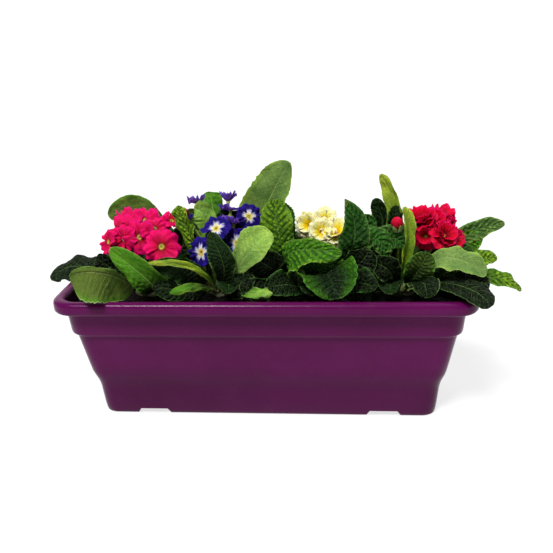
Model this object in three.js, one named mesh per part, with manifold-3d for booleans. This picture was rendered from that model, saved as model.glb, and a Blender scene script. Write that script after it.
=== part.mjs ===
// Planted window box: a plum plastic trough with four primroses growing in compost.
// Millimetres, +Z up, +X along the trough, -Y towards its front; the origin is in the
// middle of the underside, on the surface that the trough stands on.
import * as THREE from 'three';
import { mergeVertices } from 'three/addons/utils/BufferGeometryUtils.js';
import Module from 'manifold-3d';

const wasm = await Module();
wasm.setup();

// Driving dimensions of the trough.
const troughLength = 500;
const troughDepth = 190;
const pointsPerCorner = 6;
const floorThickness = 4;
const fitGap = 0.3;

// Outside of the trough from the underside to the rim: height, inset from the rim, corner radius.
const outerLevels = [
  [0, 43, 16],
  [1.5, 40.5, 17],
  [5, 39.5, 18],
  [26, 37.5, 18],
  [40, 36, 18],
  [52, 32.5, 19],
  [62, 29.5, 19],
  [116.2, 20, 20],
  [117.5, 16.5, 22],
  [120.5, 15, 22],
  [148.3, 12, 24],
  [148.5, 6, 26],
  [149.5, 2, 28],
  [152.5, 0, 30],
  [160, 0, 30],
  [163.5, 2.5, 28],
  [165, 6, 26],
];

// Inside of the trough, one wall thickness in, ending above the rim.
const innerLevels = [
  [floorThickness, 46, 12],
  [8, 42.5, 15],
  [26, 40.5, 15],
  [40, 39, 15],
  [62, 32.5, 16],
  [116.5, 23, 17],
  [119.5, 18.5, 19],
  [150, 15.5, 21],
  [163.5, 11.5, 23],
  [166, 8, 25],
];

// Two channels across the underside carry water away from the drainage holes.
const channelCentres = [-144, 145];
const channelWidth = 42;
const channelRoofWidth = 34;
const channelHeight = 7;
const channelWall = 3;
const drainRadius = 4;
const drainPlaces = [-30, 0, 30];

// Compost and the crowns of the plants.
const compostHeight = 145;
const waveHeight = 1.6;
const waveLengthX = 120;
const waveLengthY = 95;
const crownTop = 150;
const crownBottom = 124;
const crownRadius = 22;
const crownEdge = 3;
const petioleCircle = 14;
const stalkCircle = 6;

const up = new THREE.Vector3(0, 0, 1);
const vector = (values) => new THREE.Vector3(...values);

/** A closed body through rings of equal point counts, each end closed by a fan to its pole. */
function ringSolid(rings, firstPole, lastPole) {
  const count = rings[0].length;
  const points = [...rings.flat(), firstPole, lastPole];
  const indices = [];
  for (let ring = 0; ring < rings.length - 1; ring += 1) {
    for (let k = 0; k < count; k += 1) {
      const next = (k + 1) % count;
      const a = ring * count + k;
      const b = ring * count + next;
      indices.push(a, b, b + count, a, b + count, a + count);
    }
  }
  const first = points.length - 2;
  const last = points.length - 1;
  const lastRing = (rings.length - 1) * count;
  for (let k = 0; k < count; k += 1) {
    const next = (k + 1) % count;
    indices.push(first, next, k, last, lastRing + k, lastRing + next);
  }
  const geometry = new THREE.BufferGeometry().setFromPoints(points);
  geometry.setIndex(indices);
  return geometry;
}

/** One horizontal outline of the trough: a rectangle with round corners. */
function troughOutline(height, inset, radius) {
  const straightX = troughLength / 2 - inset - radius;
  const straightY = troughDepth / 2 - inset - radius;
  const corners = [[1, 1], [-1, 1], [-1, -1], [1, -1]];
  return corners.flatMap(([signX, signY], corner) =>
    Array.from({ length: pointsPerCorner }, (_, k) => {
      const angle = (Math.PI / 2) * (corner + k / (pointsPerCorner - 1));
      const x = signX * straightX + radius * Math.cos(angle);
      const y = signY * straightY + radius * Math.sin(angle);
      return new THREE.Vector3(x, y, height);
    }));
}

function troughSolid(levels, inset = 0) {
  const rings = levels.map(([height, step, radius]) => troughOutline(height, step + inset, radius));
  const bottom = new THREE.Vector3(0, 0, levels[0][0]);
  const top = new THREE.Vector3(0, 0, levels[levels.length - 1][0]);
  return toSolid(ringSolid(rings, bottom, top));
}

function toSolid(geometry) {
  const shape = geometry.clone();
  shape.deleteAttribute('normal');
  shape.deleteAttribute('uv');
  const merged = mergeVertices(shape, 1e-4);
  const vertProperties = merged.attributes.position.array;
  const triVerts = Uint32Array.from(merged.index.array);
  return new wasm.Manifold(new wasm.Mesh({ numProp: 3, vertProperties, triVerts }));
}

function toGeometry(solid) {
  const mesh = solid.getMesh();
  const geometry = new THREE.BufferGeometry();
  geometry.setAttribute('position', new THREE.BufferAttribute(mesh.vertProperties, 3));
  geometry.setIndex(new THREE.BufferAttribute(mesh.triVerts, 1));
  return geometry;
}

/** A bar across the trough with slanted sides, grown by a margin on its sides and roof. */
function channelBar(centreX, margin) {
  const footHalf = channelWidth / 2 + margin;
  const roofHalf = channelRoofWidth / 2 + margin;
  const roof = channelHeight + margin;
  const section = new THREE.Shape();
  section.moveTo(-footHalf, -1);
  section.lineTo(footHalf, -1);
  section.lineTo(roofHalf, roof);
  section.lineTo(-roofHalf, roof);
  section.closePath();
  const bar = new THREE.ExtrudeGeometry(section, { depth: troughDepth, bevelEnabled: false });
  bar.rotateX(Math.PI / 2);
  bar.translate(centreX, troughDepth / 2, 0);
  return toSolid(bar);
}

/** Everything lower than a height, to trim the underside of the compost. */
function floorSlab(height) {
  const slab = new THREE.BoxGeometry(troughLength, troughDepth, height);
  slab.translate(0, 0, height / 2);
  return toSolid(slab);
}

function uprightCylinder(radius, bottom, top, x, y) {
  const cylinder = new THREE.CylinderGeometry(radius, radius, top - bottom, 24);
  cylinder.rotateX(Math.PI / 2);
  cylinder.translate(x, y, (top + bottom) / 2);
  return toSolid(cylinder);
}

function windowBoxGeometry() {
  let cavity = troughSolid(innerLevels);
  for (const x of channelCentres) {
    cavity = cavity.subtract(channelBar(x, channelWall));
  }
  let box = troughSolid(outerLevels).subtract(cavity);
  for (const x of channelCentres) {
    box = box.subtract(channelBar(x, 0));
    for (const y of drainPlaces) {
      box = box.subtract(uprightCylinder(drainRadius, -1, channelHeight + 2 * channelWall, x, y));
    }
  }
  return toGeometry(box);
}

/** Compost fills the trough; its loose top has low waves and a pocket for every crown. */
function compostGeometry(crownPlaces) {
  const block = new THREE.BoxGeometry(troughLength, troughDepth, compostHeight, 20, 8, 1);
  const position = block.attributes.position;
  for (let k = 0; k < position.count; k += 1) {
    const x = position.getX(k);
    const y = position.getY(k);
    const isTop = position.getZ(k) > 0;
    const hill = Math.sin((2 * Math.PI * x) / waveLengthX) * Math.cos((2 * Math.PI * y) / waveLengthY);
    position.setZ(k, position.getZ(k) + compostHeight / 2 + (isTop ? waveHeight * hill : 0));
  }
  let compost = toSolid(block).intersect(troughSolid(innerLevels, fitGap));
  compost = compost.subtract(floorSlab(floorThickness + fitGap));
  for (const x of channelCentres) {
    compost = compost.subtract(channelBar(x, channelWall + fitGap));
  }
  for (const [x, y] of crownPlaces) {
    const pocket = uprightCylinder(crownRadius + fitGap, crownBottom - fitGap, crownTop, x, y);
    compost = compost.subtract(pocket);
  }
  return toGeometry(compost);
}

/** The crown of one plant: the top of its root ball, with a flat top that carries the stalks. */
function crownGeometry() {
  const profile = [
    new THREE.Vector2(0, crownBottom),
    new THREE.Vector2(crownRadius - crownEdge, crownBottom),
    new THREE.Vector2(crownRadius, crownBottom + crownEdge),
    new THREE.Vector2(crownRadius, crownTop - 2 * crownEdge),
    new THREE.Vector2(crownRadius - crownEdge, crownTop),
    new THREE.Vector2(0, crownTop),
  ];
  const crown = new THREE.LatheGeometry(profile, 16);
  crown.rotateX(Math.PI / 2);
  return crown;
}

// A leaf is a flat tube along its midrib: a narrow petiole that widens to a round-ended blade.
const leafStations = [0, 0.14, 0.28, 0.42, 0.56, 0.7, 0.83, 0.93, 0.985];
const facingStation = 6;
const bladeStart = 0.12;
const petioleHalfWidth = 2;
const petioleHalfThickness = 1.2;
const bladeHalfThickness = 0.5;
// Across a leaf: place between the margins (-1 to 1) and side (1 upper face, -1 lower face).
const leafSection = [[-1, 0], [-0.5, -1], [0, -1], [0.5, -1], [1, 0], [0.5, 1], [0, 1], [-0.5, 1]];

/** Width of a leaf as a share of its widest: 0 on the petiole, 1 at the widest place of the blade. */
function bladeShare(u, widest) {
  const blade = Math.max(0, (u - bladeStart) / (1 - bladeStart));
  return Math.sin(Math.PI * blade ** (Math.log(0.5) / Math.log(widest))) ** 0.6;
}

/** Curve that leaves the base, passes the middle point half-way along and ends at the tip. */
function curveThrough(base, middle, tip) {
  const control = middle.clone().multiplyScalar(2).addScaledVector(base, -0.5);
  control.addScaledVector(tip, -0.5);
  return new THREE.QuadraticBezierCurve3(base, control, tip);
}

/** The part of a vector that is square to a direction, with length 1. */
function squareTo(direction, values) {
  return values.clone().addScaledVector(direction, -values.dot(direction)).normalize();
}

/** Upper directions along a midrib, carried without twist from the station that has the facing. */
function carriedUppers(alongs, facing) {
  const uppers = [];
  uppers[facingStation] = squareTo(alongs[facingStation], facing);
  for (let k = facingStation - 1; k >= 0; k -= 1) {
    uppers[k] = squareTo(alongs[k], uppers[k + 1]);
  }
  for (let k = facingStation + 1; k < alongs.length; k += 1) {
    uppers[k] = squareTo(alongs[k], uppers[k - 1]);
  }
  return uppers;
}

/**
 * A leaf along its midrib. Cup, in radians, turns the margins up; widest is a share of the blade;
 * halves are the widths left and right of the midrib as shares of halfWidth.
 */
function leafGeometry({ base, middle, tip, halfWidth, facing, cup, widest, halves }) {
  const midrib = curveThrough(base, middle, tip);
  const alongs = leafStations.map((u, station) => (station === 0 ? up : midrib.getTangent(u)));
  const uppers = carriedUppers(alongs, facing);
  const rings = leafStations.map((u, station) => {
    const centre = midrib.getPoint(u);
    const upper = uppers[station];
    const side = new THREE.Vector3().crossVectors(upper, alongs[station]);
    const share = bladeShare(u, widest);
    const reach = petioleHalfWidth + (halfWidth - petioleHalfWidth) * share;
    const flatness = Math.min(1, 3 * share);
    const thick = THREE.MathUtils.lerp(petioleHalfThickness, bladeHalfThickness, flatness);
    return leafSection.map(([across, face]) => {
      const half = reach * (across < 0 ? halves[0] : halves[1]);
      return centre.clone()
        .addScaledVector(side, across * half * Math.cos(cup * share * across))
        .addScaledVector(upper, face * thick + half * across ** 2 * Math.sin(cup * share));
    });
  });
  return ringSolid(rings, base, tip);
}

// A flower has five petals, each with two crests, and a notch between one petal and the next.
const petalCount = 5;
const crestAngle = THREE.MathUtils.degToRad(12);
const notchAngle = THREE.MathUtils.degToRad(36);
const notchShare = 0.72;
const stalkRadius = 1.5;
const tubeLength = 14;
const stalkRise = 0.75;

/**
 * A ring of flower outline points round an axis; lobes of 0 makes it round, 1 gives full petals.
 * A point that falls short of the radius lies back along the axis by the slope, as on a cone.
 */
function flowerRing(centre, axis, radius, lobes, slope = 0) {
  const across = new THREE.Vector3().crossVectors(axis, new THREE.Vector3(1, 0, 0)).normalize();
  const over = new THREE.Vector3().crossVectors(axis, across);
  const notchRadius = radius * (1 - lobes * (1 - notchShare));
  const ring = [];
  for (let petal = 0; petal < petalCount; petal += 1) {
    const middle = (2 * Math.PI * petal) / petalCount;
    const outline = [[-crestAngle, radius], [crestAngle, radius], [notchAngle, notchRadius]];
    for (const [angle, reach] of outline) {
      ring.push(centre.clone()
        .addScaledVector(across, reach * Math.cos(middle + angle))
        .addScaledVector(over, reach * Math.sin(middle + angle))
        .addScaledVector(axis, slope * (reach - radius)));
    }
  }
  return ring;
}

/** The lower rings of a stalk that leaves the crown upright and leans out to the flower's neck. */
function stalkRings(base, neck) {
  const control = base.clone().lerp(neck, 0.5);
  control.z = THREE.MathUtils.lerp(base.z, neck.z, stalkRise);
  const stalk = new THREE.QuadraticBezierCurve3(base, control, neck);
  return [0, 0.5].map((u) =>
    flowerRing(stalk.getPoint(u), u === 0 ? up : stalk.getTangent(u), stalkRadius, 0));
}

/** A primrose flower on its stalk: calyx tube, petals that cup forward, and the throat. */
function flowerGeometry({ base, eye, facing, radius, cup }) {
  const ahead = (distance) => eye.clone().addScaledVector(facing, distance);
  const lift = cup * radius;
  const rings = [
    ...stalkRings(base, ahead(-tubeLength)),
    flowerRing(ahead(-tubeLength), facing, 2.4, 0),
    flowerRing(ahead(-2.5), facing, 3.6, 0),
    flowerRing(ahead(0.4 * lift - 1), facing, 0.6 * radius, 0.5, 0.7 * cup),
    flowerRing(ahead(lift), facing, radius, 1, 1.5 * cup),
    flowerRing(ahead(0.4 * lift), facing, 0.6 * radius, 0.5, 0.7 * cup),
    flowerRing(ahead(0), facing, 2.6, 0),
  ];
  return ringSolid(rings, base, ahead(-1.5));
}

/** A closed bud on its stalk. */
function budGeometry({ base, eye, facing, radius }) {
  const ahead = (distance) => eye.clone().addScaledVector(facing, distance);
  const rings = [
    ...stalkRings(base, ahead(-2 * radius)),
    flowerRing(ahead(-2 * radius), facing, 2.2, 0),
    flowerRing(ahead(-radius), facing, 0.75 * radius, 0),
    flowerRing(ahead(0), facing, radius, 0),
    flowerRing(ahead(0.8 * radius), facing, 0.6 * radius, 0),
  ];
  return ringSolid(rings, base, ahead(1.1 * radius));
}

// The four plants. Places are measured from the middle of the crown's top; facing is the way
// that a leaf's upper face or a flower looks; from is the side of the crown, in degrees
// anticlockwise from +X, that a leaf grows on when it isn't the side of its middle.
const primroses = [
  {
    name: 'pink',
    crown: [-150, 0],
    petals: 0xd4086a,
    leaves: [
      // behind the flowers, tip to the left
      { middle: [-10, 54, 74], tip: [-63, 56, 80], halfWidth: 24, facing: [0, -9, 3], from: 60 },
      // over the left end of the box
      { middle: [-78, 4, 28], tip: [-130, 0, 13], halfWidth: 22, facing: [-2, -5, 8] },
      // hangs over the front rim
      {
        middle: [-31, -79, 47], tip: [-70, -85, 46], halfWidth: 25, facing: [0, -9, 4],
        halves: [0.3, 1.5],
      },
      // bright, in front of the flowers
      {
        middle: [14, -51, 26], tip: [-33, -44, 66], halfWidth: 23, facing: [-3, -9, 1], from: 320,
        halves: [1, 0.8],
      },
      // dark, low on the left
      { middle: [-42, -14, 30], tip: [-62, -12, 44], halfWidth: 15, facing: [-3, -9, 2] },
      // leans over the back rim
      { middle: [-10, 60, 40], tip: [-34, 104, 38], halfWidth: 24, facing: [0, 5, 8], from: 110 },
    ],
    flowers: [
      { eye: [-24, 26, 82], facing: [0, -1, 9], radius: 20, cup: 0.6 },
      { eye: [13, 16, 78], facing: [3, -2, 9], radius: 20, cup: 0.6 },
      { eye: [-4, -12, 71], facing: [-1, -8, 4], radius: 24 },
      { eye: [-45, -8, 64], facing: [-7, -7, 3], radius: 18, cup: 0.2 },
      { eye: [27, -30, 64], facing: [1, -8, 5], radius: 25 },
    ],
    buds: [{ eye: [45, 22, 92], facing: [3, -3, 9], radius: 7, from: 5 }],
  },
  {
    name: 'blue',
    crown: [-55, 0],
    petals: 0x1a0f9a,
    leaves: [
      // low in front, tip to the left
      {
        middle: [-31, -44, 43], tip: [-78, -49, 49], halfWidth: 20, facing: [-1, -9, 0], from: 210,
        halves: [0.3, 1.2],
      },
      // upright before the flowers
      { middle: [9, -48, 47], tip: [-8, -40, 83], halfWidth: 16, facing: [-3, -9, 2], from: 255 },
      // pale and broad, leaning right
      {
        middle: [34, -50, 54], tip: [66, -48, 88], halfWidth: 22, facing: [-2, -9, 2], from: 280,
        halves: [0.75, 1],
      },
      // the tallest, leaning right
      {
        middle: [50, 28, 88], tip: [86, 20, 155], halfWidth: 28, facing: [-2, -9, 3],
        widest: 0.5, halves: [0.8, 1.2],
      },
      // upright beside the pink flowers
      { middle: [-41, -6, 78], tip: [-47, -5, 108], halfWidth: 12, facing: [-4, -8, 3], from: 170 },
      // round, at the back
      { middle: [-16, 48, 81], tip: [-20, 60, 110], halfWidth: 16, facing: [0, -8, 5], from: 100 },
      // folded, behind the flowers
      { middle: [-18, 15, 74], tip: [-35, 20, 98], halfWidth: 19, facing: [-2, -9, 4], from: 140 },
      // narrow, along the front rim
      { middle: [-24, -58, 23], tip: [-52, -72, 20], halfWidth: 7, facing: [0, -6, 8], from: 228 },
      // narrow, along the front rim
      { middle: [44, -66, 18], tip: [68, -74, 21], halfWidth: 7, facing: [0, -6, 8], from: 308 },
      // dark, low on the right
      { middle: [38, -24, 27], tip: [66, -24, 45], halfWidth: 15, facing: [1, -9, 3], from: 340 },
    ],
    flowers: [
      { eye: [-3, -14, 82], facing: [-3, -6, 7], radius: 20, from: 265 },
      { eye: [-20, -30, 57], facing: [-5, -8, 2], radius: 20, from: 210 },
      { eye: [36, -2, 93], facing: [3, -8, 4], radius: 17 },
      { eye: [12, 14, 97], facing: [1, 3, 8], radius: 17 },
      { eye: [5, 42, 101], facing: [0, 3, 8], radius: 12, cup: 0.5 },
      { eye: [22, -16, 64], facing: [-3, -9, 2], radius: 19 },
    ],
    buds: [{ eye: [-46, 6, 88], facing: [-3, -5, 8], radius: 6 }],
  },
  {
    name: 'yellow',
    crown: [55, 0],
    petals: 0xf1e28a,
    leaves: [
      // curls to the left and back to the right
      {
        middle: [-22, -35, 56], tip: [39, -48, 60], halfWidth: 22, facing: [0, -8, 5], from: 200,
        halves: [1.1, 0.65],
      },
      // upright, left of the flowers
      { middle: [-35, 13, 70], tip: [-42, 12, 112], halfWidth: 20, facing: [-1, -9, 3], from: 170 },
      // a bowl that opens forward
      { middle: [20, -51, 36], tip: [31, -82, 16], halfWidth: 33, facing: [0, -6, 8], cup: 0.15 },
      // upright, right of the flowers
      { middle: [52, -28, 66], tip: [42, -32, 121], halfWidth: 18, facing: [1, -9, 2], from: 337 },
      // arches over to the right
      { middle: [68, -14, 67], tip: [92, -21, 42], halfWidth: 17, facing: [3, -7, 6], from: 5 },
      // low, front right
      { middle: [48, -44, 24], tip: [78, -62, 22], halfWidth: 17, facing: [1, -8, 6], from: 315 },
      // low, front left
      { middle: [-24, -44, 20], tip: [-52, -58, 21], halfWidth: 17, facing: [-1, -8, 6], from: 250 },
      // leans over the back rim
      { middle: [8, 60, 46], tip: [17, 104, 38], halfWidth: 24, facing: [0, 5, 8] },
    ],
    flowers: [
      { eye: [33, -9, 74], facing: [-1, -5, 6], radius: 23, from: 330 },
      { eye: [-1, 3, 80], facing: [-3, -7, 4], radius: 19, from: 150 },
    ],
    buds: [],
  },
  {
    name: 'red',
    crown: [165, 0],
    petals: 0xb8041f,
    leaves: [
      // tall and narrow
      { middle: [-6, 11, 88], tip: [-25, 13, 140], halfWidth: 10, facing: [-3, -9, 1], from: 100 },
      // upright behind the bud
      { middle: [-9, 2, 72], tip: [-5, 5, 103], halfWidth: 11, facing: [3, -9, 1], from: 200 },
      // boat-shaped, before the flowers
      { middle: [5, -34, 71], tip: [0, -30, 110], halfWidth: 9, facing: [3, -9, 1], from: 260 },
      // dark and upright
      { middle: [-18, 20, 68], tip: [-32, 24, 107], halfWidth: 12, facing: [-2, -9, 2], from: 150 },
      // narrow, to the upper right
      { middle: [71, 14, 57], tip: [127, 20, 75], halfWidth: 12, facing: [0, -8, 6], from: 20 },
      // large and pale, to the right
      {
        middle: [42, -45, 52], tip: [95, -50, 37], halfWidth: 20, facing: [0, -6, 8], from: 327,
        widest: 0.7, halves: [0.95, 0.8],
      },
      // yellow-green, to the right
      { middle: [77, -8, 34], tip: [115, -4, 39], halfWidth: 12, facing: [0, -7, 7], from: 355 },
      // over the right end of the box
      { middle: [94, -31, 24], tip: [139, -34, 9], halfWidth: 12, facing: [0, -4, 9], from: 340 },
      // over the front right corner
      { middle: [58, -66, 28], tip: [92, -96, 13], halfWidth: 22, facing: [1, -4, 9], from: 308 },
      // dark, low in front
      { middle: [19, -58, 28], tip: [24, -80, 17], halfWidth: 17, facing: [0, -8, 6], from: 285 },
      // dark cup, front left
      { middle: [-15, -36, 33], tip: [-37, -38, 46], halfWidth: 16, facing: [-1, -9, 3], from: 235 },
    ],
    flowers: [
      { eye: [25, -3, 84], facing: [-2, -3, 8], radius: 20, cup: 0.5, from: 80 },
      { eye: [49, 16, 79], facing: [2, -2, 9], radius: 20, cup: 0.5, from: 20 },
      { eye: [48, -19, 72], facing: [4, -6, 6], radius: 20, cup: 0.2, from: 320 },
    ],
    buds: [{ eye: [-6, -15, 87], facing: [-1, -3, 9], radius: 7 }],
  },
];

const materials = {
  plastic: { color: 0x5a2150, roughness: 0.35, metalness: 0 },
  compost: { color: 0x17110d, roughness: 0.95, metalness: 0 },
  crown: { color: 0x4a5a2a, roughness: 0.8, metalness: 0 },
  leaf: { color: 0x2f6a23, roughness: 0.6, metalness: 0 },
};

const planter = new THREE.Group();

function addPiece(name, geometry, finish) {
  geometry.computeVertexNormals();
  const mesh = new THREE.Mesh(geometry, new THREE.MeshStandardMaterial(finish));
  mesh.name = name;
  planter.add(mesh);
  return mesh;
}

/** A foot on the crown's top, on a circle round its middle, in the direction of a place. */
function footOn(circle, place, from) {
  const angle = from === undefined ? Math.atan2(place[1], place[0]) : THREE.MathUtils.degToRad(from);
  return new THREE.Vector3(circle * Math.cos(angle), circle * Math.sin(angle), fitGap);
}

addPiece('window_box', windowBoxGeometry(), materials.plastic);
addPiece('compost', compostGeometry(primroses.map((plant) => plant.crown)), materials.compost);

for (const { name, crown, petals, leaves, flowers, buds } of primroses) {
  const petalFinish = { color: petals, roughness: 0.55, metalness: 0 };
  const [crownX, crownY] = crown;
  addPiece(`${name}_crown`, crownGeometry(), materials.crown).position.set(crownX, crownY, 0);
  const place = (mesh) => mesh.position.set(crownX, crownY, crownTop);

  leaves.forEach((leafLook, k) => {
    const { middle, tip, halfWidth, facing, from } = leafLook;
    const { cup = 0.15, widest = 0.57, halves = [1, 1] } = leafLook;
    const leaf = leafGeometry({
      base: footOn(petioleCircle, middle, from),
      middle: vector(middle),
      tip: vector(tip),
      halfWidth,
      facing: vector(facing).normalize(),
      cup,
      widest,
      halves,
    });
    place(addPiece(`${name}_leaf_${k + 1}`, leaf, materials.leaf));
  });

  flowers.forEach(({ eye, facing, radius, cup = 0.15, from }, k) => {
    const flower = flowerGeometry({
      base: footOn(stalkCircle, eye, from),
      eye: vector(eye),
      facing: vector(facing).normalize(),
      radius,
      cup,
    });
    place(addPiece(`${name}_flower_${k + 1}`, flower, petalFinish));
  });

  buds.forEach(({ eye, facing, radius, from }, k) => {
    const bud = budGeometry({
      base: footOn(stalkCircle, eye, from),
      eye: vector(eye),
      facing: vector(facing).normalize(),
      radius,
    });
    place(addPiece(`${name}_bud_${k + 1}`, bud, petalFinish));
  });
}

export default planter;
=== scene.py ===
"""Looks for a planted window box: a plum plastic trough with four primroses in leaf and flower.

Shapes are worked out in millimetres in the part's own frame (X along the trough, -Y towards its
front, Z up) and are written into their meshes in metres.
"""

import math

import bpy
import numpy as np
from mathutils import Matrix, Vector


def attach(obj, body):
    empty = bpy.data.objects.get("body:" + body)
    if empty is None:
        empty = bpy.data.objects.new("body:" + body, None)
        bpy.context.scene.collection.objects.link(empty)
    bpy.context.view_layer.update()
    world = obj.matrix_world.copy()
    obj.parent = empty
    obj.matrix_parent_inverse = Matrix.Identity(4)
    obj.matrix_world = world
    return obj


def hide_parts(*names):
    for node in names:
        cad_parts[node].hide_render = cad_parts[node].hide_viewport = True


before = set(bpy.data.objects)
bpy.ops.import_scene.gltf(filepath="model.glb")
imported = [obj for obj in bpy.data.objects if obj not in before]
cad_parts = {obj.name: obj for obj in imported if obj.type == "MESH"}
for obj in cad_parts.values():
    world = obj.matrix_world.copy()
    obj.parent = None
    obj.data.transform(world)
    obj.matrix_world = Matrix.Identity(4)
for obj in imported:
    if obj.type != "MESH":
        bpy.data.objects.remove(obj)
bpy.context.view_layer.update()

METRES = 0.001
CREASE_ANGLE = math.radians(38)


# ---- Small maths
def unit(vectors):
    """Each vector divided by its own length."""
    vectors = np.asarray(vectors, float)
    return vectors / (np.linalg.norm(vectors, axis=-1, keepdims=True) + 1e-12)


def between(a, b, share):
    """a where the share is 0, b where it is 1, and a straight mix between."""
    return a + (b - a) * share


def smooth(low, high, value):
    """0 up to low, 1 from high on, and 3t² - 2t³ between, where t is the share of the way. With low
    above high it falls instead of rising."""
    t = np.clip((value - low) / (high - low), 0, 1)
    return t * t * (3 - 2 * t)


def ripples(x, y, wavelength, seed):
    """Even bumps, mostly between -1 and 1: a quarter of the sum of seven sine waves of nearly one
    wavelength, which run in seven directions from seven starting phases."""
    chance = np.random.default_rng(seed)
    turns = chance.uniform(0, math.pi, 7)
    phases = chance.uniform(0, 2 * math.pi, 7)
    lengths = wavelength * chance.uniform(0.75, 1.35, 7)
    total = 0 * (x + y)
    for turn, phase, length in zip(turns, phases, lengths):
        total = total + np.sin(2 * math.pi * (math.cos(turn) * x + math.sin(turn) * y) / length + phase)
    return total / 4


def bezier(start, control, end, u):
    """Quadratic Bezier curve: points (1-u)² start + 2u(1-u) control + u² end, and their tangents."""
    u = np.asarray(u, float)[:, None]
    start, control, end = (np.asarray(p, float) for p in (start, control, end))
    points = (1 - u) ** 2 * start + 2 * u * (1 - u) * control + u ** 2 * end
    return points, unit((1 - u) * (control - start) + u * (end - control))


def light(rgb):
    """Linear light of a display colour that is given in steps of 0 to 255."""
    shown = np.array(rgb, float) / 255
    return np.where(shown <= 0.04045, shown / 12.92, ((shown + 0.055) / 1.055) ** 2.4)


def paint(rgb):
    """The same for a colour socket, with full cover."""
    return (*(float(channel) for channel in light(rgb)), 1.0)


# ---- Meshes. A part is a dictionary of points, four-cornered faces, UV places and tints.
def grid_faces(index):
    """Faces between the rows and columns of a grid of point numbers. Their outward side is the
    cross product of the way along the rows' order and the way along the columns' order."""
    corners = [index[:-1, :-1], index[1:, :-1], index[1:, 1:], index[:-1, 1:]]
    return np.stack(corners, -1).reshape(-1, 4)


def ring_faces(rows, columns):
    """The same for a grid whose columns close up into rings."""
    index = np.arange(rows * columns).reshape(rows, columns)
    return grid_faces(np.concatenate([index, index[:, :1]], axis=1))


def part(points, faces, uv=None, tint=None):
    """A part from arrays of any grid shape. Where none are given, its UV places are zero and its
    tints white."""
    points = np.asarray(points, float).reshape(-1, 3)
    uv = np.zeros((len(points), 2)) if uv is None else np.asarray(uv, float).reshape(-1, 2)
    tint = np.ones((len(points), 3)) if tint is None else np.asarray(tint, float).reshape(-1, 3)
    return {"points": points, "faces": np.asarray(faces, int), "uv": uv, "tint": tint}


def joined(parts):
    """Several parts as one: points in a row, and each part's faces moved on to its own points."""
    starts = np.cumsum([0] + [len(one["points"]) for one in parts[:-1]])
    whole = {key: np.concatenate([one[key] for one in parts]) for key in ("points", "uv", "tint")}
    whole["faces"] = np.concatenate([one["faces"] + start for one, start in zip(parts, starts)])
    return whole


def welded(one, step):
    """Points that agree to the step, in millimetres, become one point."""
    keys = np.round(one["points"] / step).astype(np.int64)
    _, first, place = np.unique(keys, axis=0, return_index=True, return_inverse=True)
    whole = {key: one[key][first] for key in ("points", "uv", "tint")}
    whole["faces"] = place.reshape(-1)[one["faces"]]
    return whole


def closed_sheet(surface, thickness, uv, tint, tint_below=None, uv_below=None):
    """A thin closed body round a surface that is a grid of points. The upper side lies half the
    thickness out along the normal and the lower side half the thickness back, and the two share
    the points of the border, where the thickness is zero."""
    rows, columns = surface.shape[:2]
    normal = unit(np.cross(np.gradient(surface, axis=0), np.gradient(surface, axis=1)))
    half = normal * thickness[..., None] / 2
    half[[0, -1]] = 0
    half[:, [0, -1]] = 0
    inner = (slice(1, -1), slice(1, -1))
    upper = np.arange(rows * columns).reshape(rows, columns)
    lower = upper.copy()
    lower[inner] = rows * columns + np.arange((rows - 2) * (columns - 2)).reshape(rows - 2, columns - 2)
    below = tint if tint_below is None else tint_below
    uv_below = uv if uv_below is None else uv_below
    return part(
        np.concatenate([(surface + half).reshape(-1, 3), (surface - half)[inner].reshape(-1, 3)]),
        np.concatenate([grid_faces(upper), grid_faces(lower)[:, ::-1]]),
        np.concatenate([uv.reshape(-1, 2), uv_below[inner].reshape(-1, 2)]),
        np.concatenate([tint.reshape(-1, 3), below[inner].reshape(-1, 3)]),
    )


def sheet_uv(across, along):
    """UV places of a sheet that runs from -1 to 1 across and from 0 to 1 along."""
    return np.stack([across * 0.5 + 0.5 + 0 * along, along + 0 * across], -1)


def plain_tint(rgb):
    """A tint for ring_body, revolved and tube that is the same all over."""
    return lambda share: rgb + np.zeros((*share.shape, 3))


def ring_body(rings, tint):
    """A closed body through rings of equal point counts; the first and last ring are each one point
    repeated. UV runs round the rings and along their order, and the tint is worked out from the
    share of that order."""
    rows, columns = rings.shape[:2]
    share = np.linspace(0, 1, rows)[:, None] + np.zeros(columns)
    uv = np.stack([np.arange(columns) / columns + 0 * share, share], -1)
    return welded(part(rings, ring_faces(rows, columns), uv, tint(share)), 1e-5)


def revolved(profile, centre, axis, sides, tint, swell=None):
    """A body of rings round an axis: each row of the profile is a radius and a distance along the
    axis, from zero radius to zero radius. Swell multiplies the radius by row share and angle."""
    radius, ahead = (np.asarray(profile, float)[:, k:k + 1] for k in range(2))
    axis = unit(axis)
    across = unit(np.cross(axis, [1.0, 0.0, 0.01]))
    over = np.cross(axis, across)
    angle = 2 * math.pi * np.arange(sides) / sides
    share = np.linspace(0, 1, len(radius))[:, None]
    radius = radius * (1 + 0 * angle if swell is None else swell(share, angle))
    spoke = np.cos(angle)[:, None] * across + np.sin(angle)[:, None] * over
    rings = np.asarray(centre, float) + radius[..., None] * spoke + ahead[..., None] * axis
    return ring_body(rings[:, ::-1], tint)


def tube(path, radius, sides, tint):
    """A closed round rod: a ring of the given radius about each point of the path, square to the
    path there, with both ends drawn in to a point."""
    path = np.asarray(path, float)
    radius = np.broadcast_to(np.asarray(radius, float), len(path))[:, None, None]
    along = unit(np.gradient(path, axis=0))
    side = unit(np.cross(along, [0.31, 0.94, 0.12]))
    over = np.cross(along, side)
    angle = -2 * math.pi * np.arange(sides) / sides
    spoke = np.cos(angle)[:, None] * side[:, None] + np.sin(angle)[:, None] * over[:, None]
    ends = [np.repeat(path[k:k + 1, None], sides, axis=1) for k in (0, len(path) - 1)]
    return ring_body(np.concatenate([ends[0], path[:, None] + radius * spoke, ends[1]]), tint)


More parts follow.
